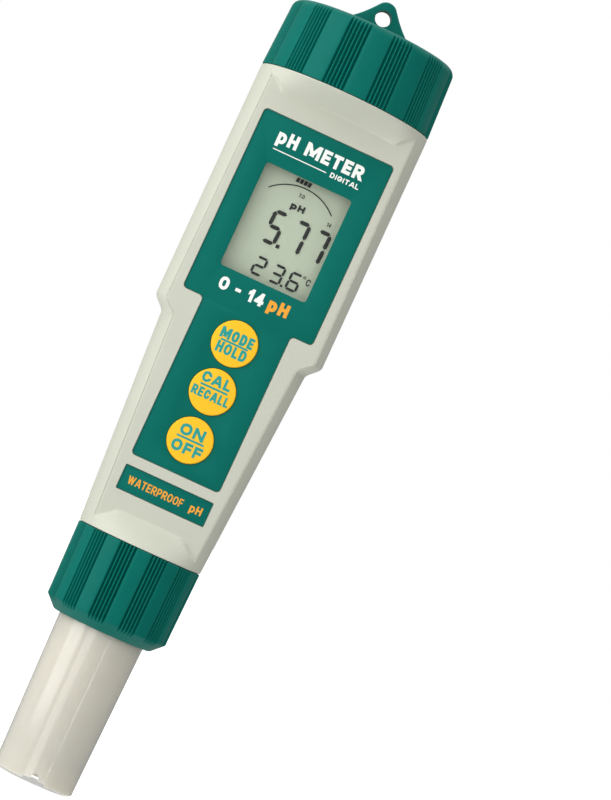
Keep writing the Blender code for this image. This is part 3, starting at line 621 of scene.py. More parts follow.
def acrylic_polished():
    """Clear acrylic with polished faces: seen only by its reflections and a grey tint."""
    return moulded("acrylic_polished", "DDE4E0", (0.01, 4.0), 0.06, None,
                   {"Alpha": 0.006, "IOR": 1.49})


def abs_polished(look):
    """Cream ABS from a polished mould: a crisp highlight, and a shaded side that light sinking
    into the milky plastic keeps soft."""
    return moulded("abs_polished", look.electrode, (0.01, 6.0), (0.16, 0.22, 5.0),
                   (6.0, 0.003, 0.3, 1.0),
                   {"IOR": 1.53, "Subsurface Weight": 0.7, "Subsurface Radius": (1.0, 0.9, 0.75),
                    "Subsurface Scale": 4.0 * MM, "Coat Weight": 0.8, "Coat Roughness": 0.1})


def plain_plastic(name, code, roughness, grain_mm):
    """Inner plastic, rubber or ceramic: one dull colour with a light grain."""
    return moulded(name, code, (0.04, 3.0), roughness, (grain_mm, 0.01, 0.5))


def metal(name, code, roughness, streak_mm):
    """Metal with a fine drawn or plated texture in its gloss."""
    return moulded(name, code, (0.05, 1.5), (roughness * 0.8, roughness * 1.2, streak_mm), None,
                   {"Metallic": 1.0})


def glass_blown():
    """Thin blown glass of the sensing bulb: clear, hard highlights."""
    return moulded("glass_blown", "CFE0E4", (0.01, 3.0), 0.04, None, {"Alpha": 0.35, "IOR": 1.5})


def board_solder_mask():
    """Green solder mask over copper tracks, which show as paler lines."""
    made, tree, shader = new_material("board_solder_mask")
    brick = add(tree, "ShaderNodeTexBrick", None,
                {"Vector": places(tree), "Scale": per_metre(2.5), "Color1": (*srgb("1F6A3C"), 1.0),
                 "Color2": (*srgb("1B5F36"), 1.0), "Mortar": (*srgb("2F8550"), 1.0),
                 "Mortar Size": 0.06}, shader.inputs["Base Color"])
    brick.offset = 0.37
    shader.inputs["Roughness"].default_value = 0.3
    grain(tree, shader, 0.5, 0.01, 0.4)
    return made


def rubber_striped():
    """Connector rubber: pink insulating layers between thin black conducting ones."""
    made, tree, shader = new_material("rubber_striped")
    wave = add(tree, "ShaderNodeTexWave", {"bands_direction": "X"},
               {"Vector": places(tree), "Scale": per_metre(1.0)})
    ramp = add(tree, "ShaderNodeValToRGB", None, {"Fac": wave.outputs["Fac"]},
               shader.inputs["Base Color"])
    ramp.color_ramp.elements[0].color = (*srgb("2A2527"), 1.0)
    ramp.color_ramp.elements[1].color = (*srgb("C9A2A6"), 1.0)
    shader.inputs["Roughness"].default_value = 0.6
    return made


def make_finishes(look):
    """Every finish by the name of its material slot, and the inks by their colour."""
    return {
        "housing_plastic": abs_spark_eroded(look),
        "cap_plastic": polypropylene_moulded(look),
        "printed_film": polyester_film_printed(look),
        "key_rubber": silicone_rubber_moulded(look),
        "clear_acrylic": acrylic_polished(),
        "display_glass": display_reflector(look),
        "electrode_plastic": abs_polished(look),
        "circuit_board": board_solder_mask(),
        "connector_rubber": rubber_striped(),
        "sensor_glass": glass_blown(),
        "dark_plastic": plain_plastic("abs_dark_moulded", "3A3C3E", 0.5, 0.4),
        "neck_plastic": plain_plastic("abs_pale_moulded", "C9CBC2", 0.45, 0.4),
        "chip_epoxy": plain_plastic("epoxy_transfer_moulded", "202224", 0.6, 0.2),
        "seal_rubber": plain_plastic("nitrile_rubber_moulded", "1C1D1E", 0.7, 0.3),
        "porous_ceramic": plain_plastic("ceramic_sintered", "F0EEE6", 0.85, 0.15),
        "steel": metal("steel_rolled", "B9BDC1", 0.3, 0.6),
        "gold_plate": metal("gold_plated", "E2BC5C", 0.25, 0.8),
        "silver_wire": metal("silver_drawn", "D8D9DB", 0.3, 0.4),
        "white": ink_screen_printed("white", look.white_print),
        "orange": ink_screen_printed("orange", look.orange_print),
        "legend": ink_screen_printed("teal", look.legend),
        "segments": display_segment(look),
    }


FINISHES = {}


def finish_of(slot):
    if not FINISHES:
        FINISHES.update(make_finishes(bpy.context.scene.meter_colours))
    return FINISHES[slot]


# ---------------------------------------------------------------- body

def body_radius(z):
    """Radius of the turned body at height z."""
    taper = BODY_RADIUS_BOTTOM + BODY_TAPER * (min(z, SHOULDER_LOW) - BODY_BOTTOM)
    t = min(max((z - SHOULDER_LOW) / (SHOULDER_HIGH - SHOULDER_LOW), 0.0), 1.0)
    return taper + (BODY_RADIUS_TOP - taper) * t * t * (3.0 - 2.0 * t)


def soft_least(a, b, reach):
    """The smaller of two values, with a round turn from one to the other."""
    if reach < TINY:
        return min(a, b)
    near = max(reach - abs(a - b), 0.0) / reach
    return min(a, b) - near * near * reach / 4.0


RIM_ROUND = 0.3
CREASE_ARCH = 0.6
HIP_SLOPE = 2.2         # steepness of a facet's slanting ends


def end_facets(x, z, around, flat, softness):
    """How far the front stands before its flat near either end: a sloping facet that rises from a
    level crease to the round rim, cut off at a slant on the left and right."""
    stands = 0.0
    for crease, crease_end, rim in ((TOP_CREASE, TOP_CREASE_END, BODY_TOP),
                                    (BOTTOM_CREASE, BOTTOM_CREASE_END, BODY_BOTTOM)):
        way = 1.0 if rim > crease[0] else -1.0
        arch = CREASE_ARCH * max(1.0 - (x / crease[1]) ** 2, 0.0) if way > 0.0 else 0.0
        along = way * (z - crease[0]) - arch
        slope = (around - flat) / (abs(rim - crease[0]) - arch)
        main = slope * along
        run, climb = crease_end[1] - crease[1], abs(crease_end[0] - crease[0])
        inside = way * (z - crease[0]) * run - (abs(x) - crease[1]) * climb
        hip = HIP_SLOPE * inside / math.hypot(run, climb)
        risen = soft_least(main, hip, softness)
        stands = max(stands, -soft_least(-risen, 0.0, softness))
    return min(stands, around - flat)


def end_round(z):
    """How much the body draws in at its very top and bottom, for the rounded rims."""
    left = min(z - BODY_BOTTOM, BODY_TOP - z)
    if left >= RIM_ROUND:
        return 0.0
    return RIM_ROUND - math.sqrt(max(RIM_ROUND ** 2 - (RIM_ROUND - left) ** 2, 0.0))


def front_depth(x, z, sizes):
    """Distance of the front surface before the body's axis, at x across and height z."""
    radius = body_radius(z) - end_round(z)
    flat = FLAT_DEPTH_AT_ZERO + FLAT_SLOPE * z
    around = math.sqrt(max(radius * radius - x * x, 0.0))
    stands = end_facets(x, z, around, flat, sizes.crease_softness / MM)
    share = stands / (around - flat) if around - flat > TINY else 1.0
    reach = sizes.ridge_softness / MM * (1.0 - min(share * 1.6, 1.0))
    return soft_least(around, flat + stands, reach * 2.0)


SEAM_HALF = 0.05
TONGUE = 1.0
FRONT_SHARES = ([i / 12.0 * 0.72 for i in range(12)] + [0.72 + i / 18.0 * 0.21 for i in range(18)]
                + [0.93 + i / 14.0 * 0.07 for i in range(15)])
SIDE_STEPS, SIDE_CROWDING = 18, 1.35     # columns from the ridge to the seam, closer at the ridge
ROUND_STEPS, CEILING_STEPS = 6, 6       # columns inside the front shell, round and flat
REAR_STEPS, REAR_INNER_STEPS = 48, 24
NECK_FLANGE = (17.75, 147.2, 149.3)
SOCKET_FLANGE = (12.6, 52.9, 55.0)


def inner_radius(z):
    """Inside of the wall, hollowed for the flanges of the neck and the socket."""
    radius = body_radius(z) - WALL
    for reach, low, high in (NECK_FLANGE, SOCKET_FLANGE):
        if low < z < high:
            radius = max(radius, reach)
    return radius


RIM_DEPTHS = (0.0, 0.03, 0.08, 0.15, 0.22, 0.3, 0.45)     # rows of the rounded rims
PLAIN_ROWS = (62.0, 67.0, 72.0, 77.0, 82.0, 87.0, 92.0, 106.0, 112.0, 118.0, 124.0, 130.0, 136.0,
              141.0)
# Rows close together over the end facets and the shoulder: from, to and how many steps
FACET_ROWS = (
    (BODY_BOTTOM + 0.6, BOTTOM_CREASE[0] - CREASE_ARCH - 0.2, 18),
    (BOTTOM_CREASE[0] - CREASE_ARCH - 0.1, BOTTOM_CREASE[0] + 0.2, 14),
    (TOP_CREASE[0] - 0.2, TOP_CREASE[0] + CREASE_ARCH + 0.2, 16),
    (TOP_CREASE[0] + CREASE_ARCH + 0.35, BODY_TOP - 0.6, 18),
    (SHOULDER_LOW - 0.4, SHOULDER_HIGH + 0.4, 20),
)


def body_heights():
    """Heights of the shells' rings: close together where the shape turns."""
    heights = set(PLAIN_ROWS)
    for base, way in ((BODY_BOTTOM, 1.0), (BODY_TOP, -1.0)):
        heights.update(base + way * d for d in RIM_DEPTHS)
    for low, high, steps in FACET_ROWS:
        heights.update(low + (high - low) * i / steps for i in range(steps + 1))
    for _, low, high in (NECK_FLANGE, SOCKET_FLANGE):
        heights.update((low - 0.01, low + 0.01, high - 0.01, high + 0.01))
    return sorted(heights)


def front_ring(z, sizes):
    """One closed ring of the front shell: outside from the middle to the seam, back inside."""
    radius = body_radius(z) - end_round(z)
    flat = FLAT_DEPTH_AT_ZERO + FLAT_SLOPE * z
    ridge = math.sqrt(radius * radius - flat * flat)
    points = []
    for share in FRONT_SHARES:
        x = share * ridge
        points.append((x, -front_depth(x, z, sizes), z))
    ridge_angle = math.asin(ridge / radius)
    last = math.acos(SEAM_HALF / radius)
    for i in range(1, SIDE_STEPS + 1):
        t = (i / SIDE_STEPS) ** SIDE_CROWDING
        angle = ridge_angle + (last - ridge_angle) * t
        x = radius * math.sin(angle)
        points.append((x, -front_depth(x, z, sizes), z))
    points.append((radius - WALL / 2.0, -SEAM_HALF, z))
    points.append((radius - WALL / 2.0, -SEAM_HALF - TONGUE, z))
    inside = inner_radius(z)
    inner_flat = FLAT_DEPTH_AT_ZERO + FLAT_SLOPE * z - WALL
    start = math.asin((SEAM_HALF + TONGUE) / inside)
    ridge_inside = math.asin(min(inner_flat / inside, 0.99))
    for i in range(ROUND_STEPS + 1):
        angle = start + (ridge_inside - start) * i / ROUND_STEPS
        points.append((inside * math.cos(angle), -inside * math.sin(angle), z))
    edge = inside * math.cos(ridge_inside)
    for i in range(1, CEILING_STEPS):
        x = edge * (1.0 - i / CEILING_STEPS)
        around = math.sqrt(inside * inside - x * x)
        points.append((x, -inner_flat - end_facets(x, z, around, inner_flat, 0.0), z))
    points.append((0.0, -inner_flat - end_facets(0.0, z, inside, inner_flat, 0.0), z))
    mirrored = [(-x, y, z) for x, y, z in reversed(points[1:-1])]
    return points + mirrored


def rear_ring(z):
    """One closed ring of the rear shell, with the tongue that enters the front shell."""
    radius = body_radius(z) - end_round(z)
    inside = inner_radius(z)
    seam = radius - WALL / 2.0 - 0.1
    lap = SEAM_HALF - TONGUE
    first = math.degrees(math.asin(SEAM_HALF / radius))
    start = math.degrees(math.asin(lap / inside))
    outline = arc((0.0, 0.0), radius, first, 180.0 - first, REAR_STEPS)
    outline += [(-seam, SEAM_HALF), (-seam, lap)]
    outline += arc((0.0, 0.0), inside, 180.0 - start, start, REAR_INNER_STEPS)
    outline += [(seam, lap), (seam, SEAM_HALF)]
    return [(x, y, z) for x, y in outline]


class METER_OT_body(bpy.types.Operator):
    """Makes the front and rear shells of the body"""
    bl_idname = "meter.body"
    bl_label = "Body shells"

    def execute(self, context):
        sizes = context.scene.meter_sizes
        heights = body_heights()
        cuts = []
        for outline, far in (
            (stepped(PANEL_NARROW, PANEL_WIDE, PANEL_CORNER, 0.12), RECESS),
            (rectangle(*LABEL, 0.3, 0.12), RECESS),
            (rectangle(*LENS, 1.0, 0.3), WALL + 1.0),
        ):
            tool = plate(outline, -8.0, far)
            tool.transform(FLAT)
            cuts.append(("DIFFERENCE", tool))
        for height in KEY_HEIGHTS.values():
            bore = into_front(cylinder(KEY_HOLE + 0.06, -3.0, WALL + 1.0), height)
            bore.transform(FLAT)
            cuts.append(("DIFFERENCE", bore))
        front = combined(loft([front_ring(z, sizes) for z in heights]), cuts)
        piece("body_front_shell", front, finish_of("housing_plastic"), "housing",
              ("front_housing",), sharp=38.0)
        rear = loft([rear_ring(z) for z in heights])
        piece("body_rear_shell", rear, finish_of("housing_plastic"), "housing",
              ("rear_housing",), sharp=38.0)
        return {"FINISHED"}


# ---------------------------------------------------------------- panel, keys and display

# Printed words: the words, the middle across and the baseline, the width and the cap height, and
# the strokes' weight
HEADER_PRINTS = (
    ("print_header", "pH METER", (-0.2, 136.9), (18.8, 2.9), 0.72, "white"),
    ("print_header_caption", "DIGITAL", (6.35, 135.05), (6.3, 1.05), 0.24, "white"),
    ("print_range", "0 - 14", (-3.1, 105.5), (9.8, 2.7), 0.66, "white"),
    ("print_range_unit", "pH", (5.0, 105.5), (4.4, 2.7), 0.74, "orange"),
    ("print_label_words", "WATERPROOF", (-2.0, 62.25), (12.0, 1.7), 0.28, "orange"),
    ("print_label_unit", "pH", (6.9, 62.25), (2.6, 1.7), 0.36, "orange"),
)
HEADER_RULE = (-9.5, 2.3, 135.55, 0.2)


def strip(name, x_low, x_high, z, thickness, depth, material, body):
    """A thin printed line."""
    half = thickness / 2.0
    outline = rounded([(x_low, z - half, half * 0.9), (x_high, z - half, half * 0.9),
                       (x_high, z + half, half * 0.9), (x_low, z + half, half * 0.9)], 3)
    return piece(name, plate(outline, depth - PRINT_RAISE, depth + PRINT_SUNK), material, body,
                 matrix=FLAT)


class METER_OT_panel(bpy.types.Operator):
    """Makes the printed front panel and the small label, with their lettering"""
    bl_idname = "meter.panel"
    bl_label = "Front panel and label"

    def execute(self, context):
        film = finish_of("printed_film")
        holes = [("DIFFERENCE", plate(rectangle(*WINDOW, 0.7), -1.0, 2.0))]
        for height in KEY_HEIGHTS.values():
            holes.append(("DIFFERENCE", into_front(cylinder(KEY_HOLE, -1.0, 2.0, 96), height)))
        outline = stepped(PANEL_NARROW, PANEL_WIDE, PANEL_CORNER)
        sheet = softened(combined(plate(outline, FILM_NEAR, FILM_FAR), holes), 0.05)
        piece("printed_panel", sheet, film, "housing", ("overlay_panel",), FLAT)
        label = softened(plate(rectangle(*LABEL, 0.3), FILM_NEAR, FILM_FAR), 0.05)
        piece("printed_label", label, film, "housing", ("small_label",), FLAT)

        for name, words, place, size, weight, ink in HEADER_PRINTS:
            lettering(name, words, place, size, weight, FILM_NEAR, finish_of(ink), "housing")
        low, high, z, thickness = HEADER_RULE
        strip("print_header_rule", low, high, z, thickness, FILM_NEAR, finish_of("white"),
              "housing")
        return {"FINISHED"}


# Each key's words: middle across, lowest point above the key's centre, height and width
KEY_WORDS = {
    "mode": ((0.0, 0.2, 2.3, 7.1), (0.0, -2.75, 2.3, 6.5), -0.12),
    "cal": ((-0.1, 1.25, 2.25, 6.2), (-0.1, -1.85, 1.98, 8.0), 0.72),
    "power": ((-0.2, 0.5, 2.4, 5.2), (0.05, -3.0, 2.4, 6.5), 0.05),
}
KEY_FACE = 0.12         # how far the key's face stands before the flat
KEY_BAR_HALF, KEY_BAR_THICKNESS = 3.0, 0.42
KEY_EDGE = 0.3
KEY_FLANGE, KEY_FOOT = 1.35, 2.1        # depths behind the flat
KEY_STEM_RADIUS, KEY_STEM_END = 1.6, 3.7
KEY_WEIGHT = 0.25      # thickness of a letter's strokes for a height of 1


class METER_OT_keys(bpy.types.Operator):
    """Makes the three round keys and the words on their faces"""
    bl_idname = "meter.keys"
    bl_label = "Keys"

    def execute(self, context):
        for key, height in KEY_HEIGHTS.items():
            body = key + "_button"
            edge, flange, foot = KEY_EDGE, KEY_FLANGE, KEY_FOOT
            profile = [(0.0, -KEY_FACE)]
            profile += arc((KEY_RADIUS - edge, edge - KEY_FACE), edge, -90.0, 0.0, 6)
            profile += [(KEY_RADIUS, flange), (KEY_RADIUS, foot), (0.0, foot)]
            shape = into_front(turned(profile, even_columns(96)), height)
            stem = into_front(cylinder(KEY_STEM_RADIUS, foot - 0.1, KEY_STEM_END, 24), height)
            piece(key + "_key_cap", combined(shape, [("UNION", stem)]), finish_of("key_rubber"),
                  body, (key + "_key",), FLAT)
            upper, lower, bar = KEY_WORDS[key]
            for place, word, (x, low, tall, wide) in zip(("upper", "lower"), KEY_LEGENDS[key],
                                                         (upper, lower)):
                lettering(key + "_legend_" + place, word, (x, height + low), (wide, tall),
                          KEY_WEIGHT * min(tall, 1.05 * wide / len(word) + 0.45), -KEY_FACE,
                          finish_of("legend"), body)
            strip(key + "_legend_bar", -KEY_BAR_HALF, KEY_BAR_HALF, height + bar, KEY_BAR_THICKNESS,
                  -KEY_FACE, finish_of("legend"), body)
        return {"FINISHED"}


# Display: which of a digit's seven bars are lit, in the order top, upper left, upper right,
# middle, lower left, lower right, bottom
LIT = {"2": "1011101", "3": "1011011", "5": "1101011", "6": "1101111", "7": "1010010"}
GLASS_NEAR, GLASS_FAR = 2.32, 2.42
SEGMENT_NEAR, SEGMENT_FAR = 2.46, 2.52
REFLECTOR_NEAR = 2.6


def bar_outline(start, end, half, mitre):
    """A segment from start to end with pointed ends."""
    a, b = Vector(start), Vector(end)
    along = (b - a).normalized()
    side = Vector((-along.y, along.x)) * half
    tip = along * half * mitre
    return [tuple(a), tuple(a + tip + side), tuple(b - tip + side), tuple(b),
            tuple(b - tip - side), tuple(a + tip - side)]


def digit_bars(character, x_low, z_low, width, height, thickness, slant):
    """Outlines of a seven-segment digit's lit bars, leaning by slant."""
    half = thickness / 2.0
    left, right = half, width - half
    bottom, middle, top = half, height / 2.0, height - half
    gap = thickness * 0.12
    bars = (
        ((left, top), (right, top)), ((left, middle), (left, top)), ((right, middle), (right, top)),
        ((left, middle), (right, middle)), ((left, bottom), (left, middle)),
        ((right, bottom), (right, middle)), ((left, bottom), (right, bottom)),
    )
    outlines = []
    for lit, (start, end) in zip(LIT[character], bars):
        if lit == "0":
            continue
        along = (Vector(end) - Vector(start)).normalized() * gap
        outline = bar_outline(Vector(start) + along, Vector(end) - along, half, 1.0)
        outlines.append([(x_low + x + slant * z, z_low + z) for x, z in outline])
    return outlines


def dot_outline(x, z, size):
    half = size / 2.0
    return [(x - half, z - half), (x + half, z - half), (x + half, z + half), (x - half, z + half)]


READING = (("5", -4.15), ("7", 0.9), ("7", 5.45))
READING_SIZE = (117.72, 3.25, 7.22, 0.8)
LOWER_READING = (("2", -3.35), ("3", 0.65), ("6", 4.3))
LOWER_SIZE = (110.98, 2.58, 3.95, 0.5)
POINTS = ((-0.3, 118.08, 0.74), (3.66, 111.2, 0.46))     # decimal points: middle and size
DIGIT_SLANT = 0.035
ARC_CENTRE, ARC_RADIUS, ARC_HALF_ANGLE, ARC_HALF = (0.0, 120.95), 10.07, 44.0, 0.11
DEGREE_CENTRE, DEGREE_RADII, DEGREE_SWEEP = (7.35, 114.65), (0.3, 0.17), 345.6
SCALE_BARS = (-2.55, -1.7, -0.85, 0.0)
SCALE_BAR = ((0.0, 131.55), (0.68, 131.5), (0.82, 132.5), (0.14, 132.5))
GROUND_PAST_LENS = (1.5, 0.9)           # how far the display goes on below and above the window
DISPLAY_PRINTS = (
    ("display_unit", "pH", (0.15, 126.2), (3.0, 1.35), 0.42),
    ("display_middle_mark", "7.0", (-0.08, 128.95), (1.2, 0.8), 0.13),
    ("display_right_mark", "14", (7.32, 125.95), (0.9, 0.8), 0.13),
    ("display_celsius", "C", (8.4, 113.3), (0.9, 1.45), 0.22),
)


def display_outlines():
    """Every lit shape of the display, as outlines in x and z."""
    shapes = []
    for row, (low, width, tall, thick) in ((READING, READING_SIZE), (LOWER_READING, LOWER_SIZE)):
        for character, x in row:
            shapes += digit_bars(character, x, low, width, tall, thick, DIGIT_SLANT)
    shapes += [dot_outline(*dot) for dot in POINTS]
    left, right = 90.0 + ARC_HALF_ANGLE, 90.0 - ARC_HALF_ANGLE
    shapes.append(arc(ARC_CENTRE, ARC_RADIUS + ARC_HALF, left, right, 40)
                  + arc(ARC_CENTRE, ARC_RADIUS - ARC_HALF, right, left, 40))
    for x in SCALE_BARS:
        shapes.append([(x + across, z) for across, z in SCALE_BAR])
    shapes.append(arc(DEGREE_CENTRE, DEGREE_RADII[0], 0.0, DEGREE_SWEEP, 12)
                  + arc(DEGREE_CENTRE, DEGREE_RADII[1], 0.0, -DEGREE_SWEEP, 12))
    return shapes


class METER_OT_display(bpy.types.Operator):
    """Makes the liquid crystal display: its glass, its ground and its lit shapes"""
    bl_idname = "meter.display"
    bl_label = "Display"

    def execute(self, context):
        half = box_mm("lcd_glass")[1].x
        bottom, top = LENS[1] - GROUND_PAST_LENS[0], LENS[2] + GROUND_PAST_LENS[1]
        ground = plate(rectangle(half, bottom, top, 0.3), REFLECTOR_NEAR, REFLECTOR_NEAR + 1.0)
        piece("display_ground", softened(ground, 0.06), finish_of("display_glass"), "housing",
              ("lcd_glass",), FLAT)
        glass = plate(rectangle(half, bottom, top, 0.3), GLASS_NEAR, GLASS_FAR)
        piece("display_front_glass", glass, finish_of("clear_acrylic"), "housing",
              (), FLAT)
        shape = bmesh.new()
        for outline in display_outlines():
            part = plate(outline, SEGMENT_NEAR, SEGMENT_FAR)
            mesh = bpy.data.meshes.new("part")
            part.to_mesh(mesh)
            part.free()
            shape.from_mesh(mesh)
            bpy.data.meshes.remove(mesh)
        dark = finish_of("segments")
        piece("display_segments", shape, dark, "housing", (), FLAT)
        for name, words, place, size, weight in DISPLAY_PRINTS:
            lettering(name, words, place, size, weight, SEGMENT_FAR - 0.02, dark, "housing")
        return {"FINISHED"}


# ---------------------------------------------------------------- caps and electrode

GRIP_GROUPS = 12
GROOVE_STEPS, REST_STEPS = 10, 6        # columns over a groove, and between two groups


def grip_columns(first_angle, grooves, pitch, depth):
    """Columns of a turned cap whose side has twelve groups of grooves.
    first_angle is the middle of the first group, in degrees round from the front."""
    half = grooves * pitch / 2.0
    columns = []
    for g in range(GRIP_GROUPS):
        middle = math.radians(first_angle - 90.0) + math.tau * g / GRIP_GROUPS
        for k in range(grooves * GROOVE_STEPS):
            across = k / GROOVE_STEPS
            cut = 0.5 - 0.5 * math.cos(math.tau * across)
            columns.append((middle - half + across * pitch, depth * cut ** GROOVE_SHARPNESS))
        columns.append((middle + half, 0.0))
        rest = math.tau / GRIP_GROUPS - 2.0 * half
        columns += [(middle + half + rest * i / REST_STEPS, 0.0) for i in range(1, REST_STEPS)]
    return columns


def thread(wall, crest, start, turns, first_turn=0.0):
    """The ridge of a right-handed screw thread, sunk a little into its wall."""
    steps_per_turn, sunk_by, base, top = 48, 0.4, 1.2, 0.6
    sunk = wall - sunk_by if crest > wall else wall + sunk_by
    rings = []
    steps = int(round(turns * steps_per_turn))
    for i in range(steps + 1):
        turn = first_turn + turns * i / steps
        height = start + THREAD_LEAD * turn
        across = Vector((math.cos(math.tau * turn), math.sin(math.tau * turn)))
        rings.append([(across.x * radius, across.y * radius, height + rise) for radius, rise in (
            (sunk, -base / 2.0), (crest, -top / 2.0), (crest, top / 2.0), (sunk, base / 2.0))])
    return loft(rings)


def cap_side(z):
    """Radius of the battery cap's side at height z."""
    share = (z - CAP_BOTTOM) / (CAP_SIDE_TOP - CAP_BOTTOM)
    return CAP_RADIUS + (CAP_SIDE_TOP_RADIUS - CAP_RADIUS) * min(share, 1.0)


def collar_side(z):
    """Radius of the collar's side at height z."""
    share = (z - COLLAR_CORNER[1]) / (COLLAR_TOP - COLLAR_CORNER[1])
    return COLLAR_CORNER[0] + (COLLAR_RADIUS_TOP - COLLAR_CORNER[0]) * max(share, 0.0)


def lug_outline():
    """Outline of the lanyard lug: a round head on a neck that spreads into the cap."""
    centre = LUG_TOP - LUG_TOP_RADIUS
    shoulder = 36.0
    head = arc((0.0, centre), LUG_TOP_RADIUS, shoulder, 180.0 - shoulder, 20)
    foot = (8.3, CAP_TOP + 0.1)
    neck = head[0]
    flank = []
    pull = (5.2, CAP_TOP + 1.5)
    for i in range(9):
        t = i / 9.0
        flank.append(tuple((1 - t) ** 2 * f + 2 * (1 - t) * t * p + t * t * n
                           for f, p, n in zip(foot, pull, neck)))
    low = CAP_TOP - 0.8
    return ([(-foot[0], low), (foot[0], low)] + flank + head
            + [(-x, z) for x, z in reversed(flank)])


class METER_OT_battery_cap(bpy.types.Operator):
    """Makes the ribbed screw cap with its lanyard lug"""
    bl_idname = "meter.battery_cap"
    bl_label = "Battery cap"

    def execute(self, context):
        sizes = context.scene.meter_sizes
        profile = [(CAP_BORE, CAP_BOTTOM), (CAP_RADIUS - CAP_RIM, CAP_BOTTOM)]
        profile += arc((CAP_RADIUS - CAP_RIM, CAP_BOTTOM + CAP_RIM), CAP_RIM, -60.0, 0.0, 3)
        profile += [(cap_side(z), z) for z in CAP_ROWS]
        profile += arc((CAP_SIDE_TOP_RADIUS - CAP_CORNER, CAP_SIDE_TOP), CAP_CORNER, 2.0, 88.0, 20)
        profile += [(12.0, CAP_TOP), (0.0, CAP_TOP), (0.0, CAP_CEILING), (CAP_BORE, CAP_CEILING)]
        columns = grip_columns(CAP_GRIP, 6, sizes.cap_groove_pitch, sizes.groove_depth / MM)
        cap = turned(profile, columns, side=cap_side)
        lug = softened(plate(lug_outline(), -LUG_HALF_THICKNESS, LUG_HALF_THICKNESS), 0.45, 3, 50.0)
        height, radius = LUG_HOLE
        hole = into_front(cylinder(radius, -6.0, 6.0, 48), height)
        ridge = thread(CAP_BORE, 15.9, 154.9, 1.25)
        cap = combined(cap, [("UNION", lug), ("UNION", ridge), ("DIFFERENCE", hole)])
        piece("battery_cap_ribbed", cap, finish_of("cap_plastic"), "cap",
              ("battery_cap",), sharp=45.0)
        return {"FINISHED"}


class METER_OT_collar(bpy.types.Operator):
    """Makes the ribbed collar that holds the electrode"""
    bl_idname = "meter.collar"
    bl_label = "Electrode collar"

    def execute(self, context):
        sizes = context.scene.meter_sizes
        rim = 0.25
        profile = [(COLLAR_HOLE, COLLAR_BOTTOM), (10.5, COLLAR_BOTTOM), (10.75, COLLAR_BOTTOM + 0.1)]
        corner, height = COLLAR_CORNER
        profile += [(12.3, height - 0.78), (corner - 0.12, height - 0.15), COLLAR_CORNER,
                    (corner + 0.03, height + 0.25)]
        profile += [(collar_side(z), z) for z in COLLAR_ROWS]
        profile += arc((COLLAR_RADIUS_TOP - rim, COLLAR_TOP - rim), rim, 0.0, 80.0, 4)
        profile += [(COLLAR_BORE, COLLAR_TOP), (COLLAR_BORE, COLLAR_SEAT), (COLLAR_HOLE, COLLAR_SEAT)]
        columns = grip_columns(COLLAR_GRIP, 5, sizes.collar_groove_pitch, sizes.groove_depth / MM)
        collar = turned(profile, columns, side=collar_side)
        ridge = thread(COLLAR_BORE, 10.75, 42.5, 1.5, 0.75)
        piece("electrode_collar_ribbed", combined(collar, [("UNION", ridge)]),
              finish_of("cap_plastic"), "collar", ("electrode_collar",), sharp=45.0)
        return {"FINISHED"}


SHEATH_TIP, SHEATH_TOP, SHEATH_BORE, SHEATH_RIM = 8.47, 9.22, 7.3, 0.25
# Section of the sheath's upper end inside the collar: flange, neck, O-ring groove and mouth
SHEATH_END = ((SHEATH_TOP, 36.6), (10.2, 36.6), (10.2, 38.6), (8.1, 38.6), (8.1, 42.0), (7.1, 42.0),
              (7.1, 43.6), (8.1, 43.6), (8.1, 47.0), (7.8, 47.4), (6.2, 47.4), (6.2, 35.0),
              (SHEATH_BORE, 33.0))
# Notches in the rim: half width, height and corner
RIM_NOTCHES = ((2.35, 0.6, 0.3), (0.8, 1.9, 0.78))


class METER_OT_electrode(bpy.types.Operator):
    """Makes the glossy sheath of the electrode"""
    bl_idname = "meter.electrode"
    bl_label = "Electrode sheath"

    def execute(self, context):
        profile = [(SHEATH_BORE, 0.0)]
        profile += arc((SHEATH_TIP - SHEATH_RIM, SHEATH_RIM), SHEATH_RIM, -90.0, 0.0, 5)
        for z in (8.0, 16.0, 24.0, COLLAR_BOTTOM):
            profile.append((SHEATH_TIP + (SHEATH_TOP - SHEATH_TIP) * z / COLLAR_BOTTOM, z))
        profile += SHEATH_END
        cuts = []
        for half, top, corner in RIM_NOTCHES:
            outline = rounded([(-half, -1.0, 0.1), (half, -1.0, 0.1), (half, top, corner),
                               (-half, top, corner)])
            cuts.append(("DIFFERENCE", plate(outline, -20.0, -2.0)))
        sheath = combined(turned(profile, even_columns(144)), cuts)
        piece("electrode_sheath", sheath, finish_of("electrode_plastic"), "electrode",
              ("electrode_tube",), sharp=35.0)
        return {"FINISHED"}


class METER_OT_inner_parts(bpy.types.Operator):
    """Gives every part that stays as the CAD model has it its finish"""
    bl_idname = "meter.inner_parts"
    bl_label = "Inner parts"

    def execute(self, context):
        for row in frame["record"]["subparts"]:
            node = frame["nodes"][row["node"]]
            for place in node.material_slots:
                place.material = finish_of(row["material_slot"])
        return {"FINISHED"}


# ---------------------------------------------------------------- studio and camera

CAMERA_DISTANCE = 805.0
CAMERA_HEIGHT = 68.7
CAMERA_ACROSS = -25.9
AIM = Vector((18.1, 0.0, 92.6))
ROLL = math.radians(24.7)
LENS_LENGTH = 178.7
SENSOR = 36.0
BRIGHT_SIDE = (-0.75, -0.35, 0.3)       # the way to the studio's bright side
STUDIO_LEVELS = (0.3, 0.66)             # radiance of its dim and bright sides
OVERHEAD_LEVEL = 1.75                   # what straight up and straight down add to it
FLOOR_HALF, FLOOR_HEIGHT = 4000.0, -0.4
LIT_POINT = (0.0, 0.0, 95.0)
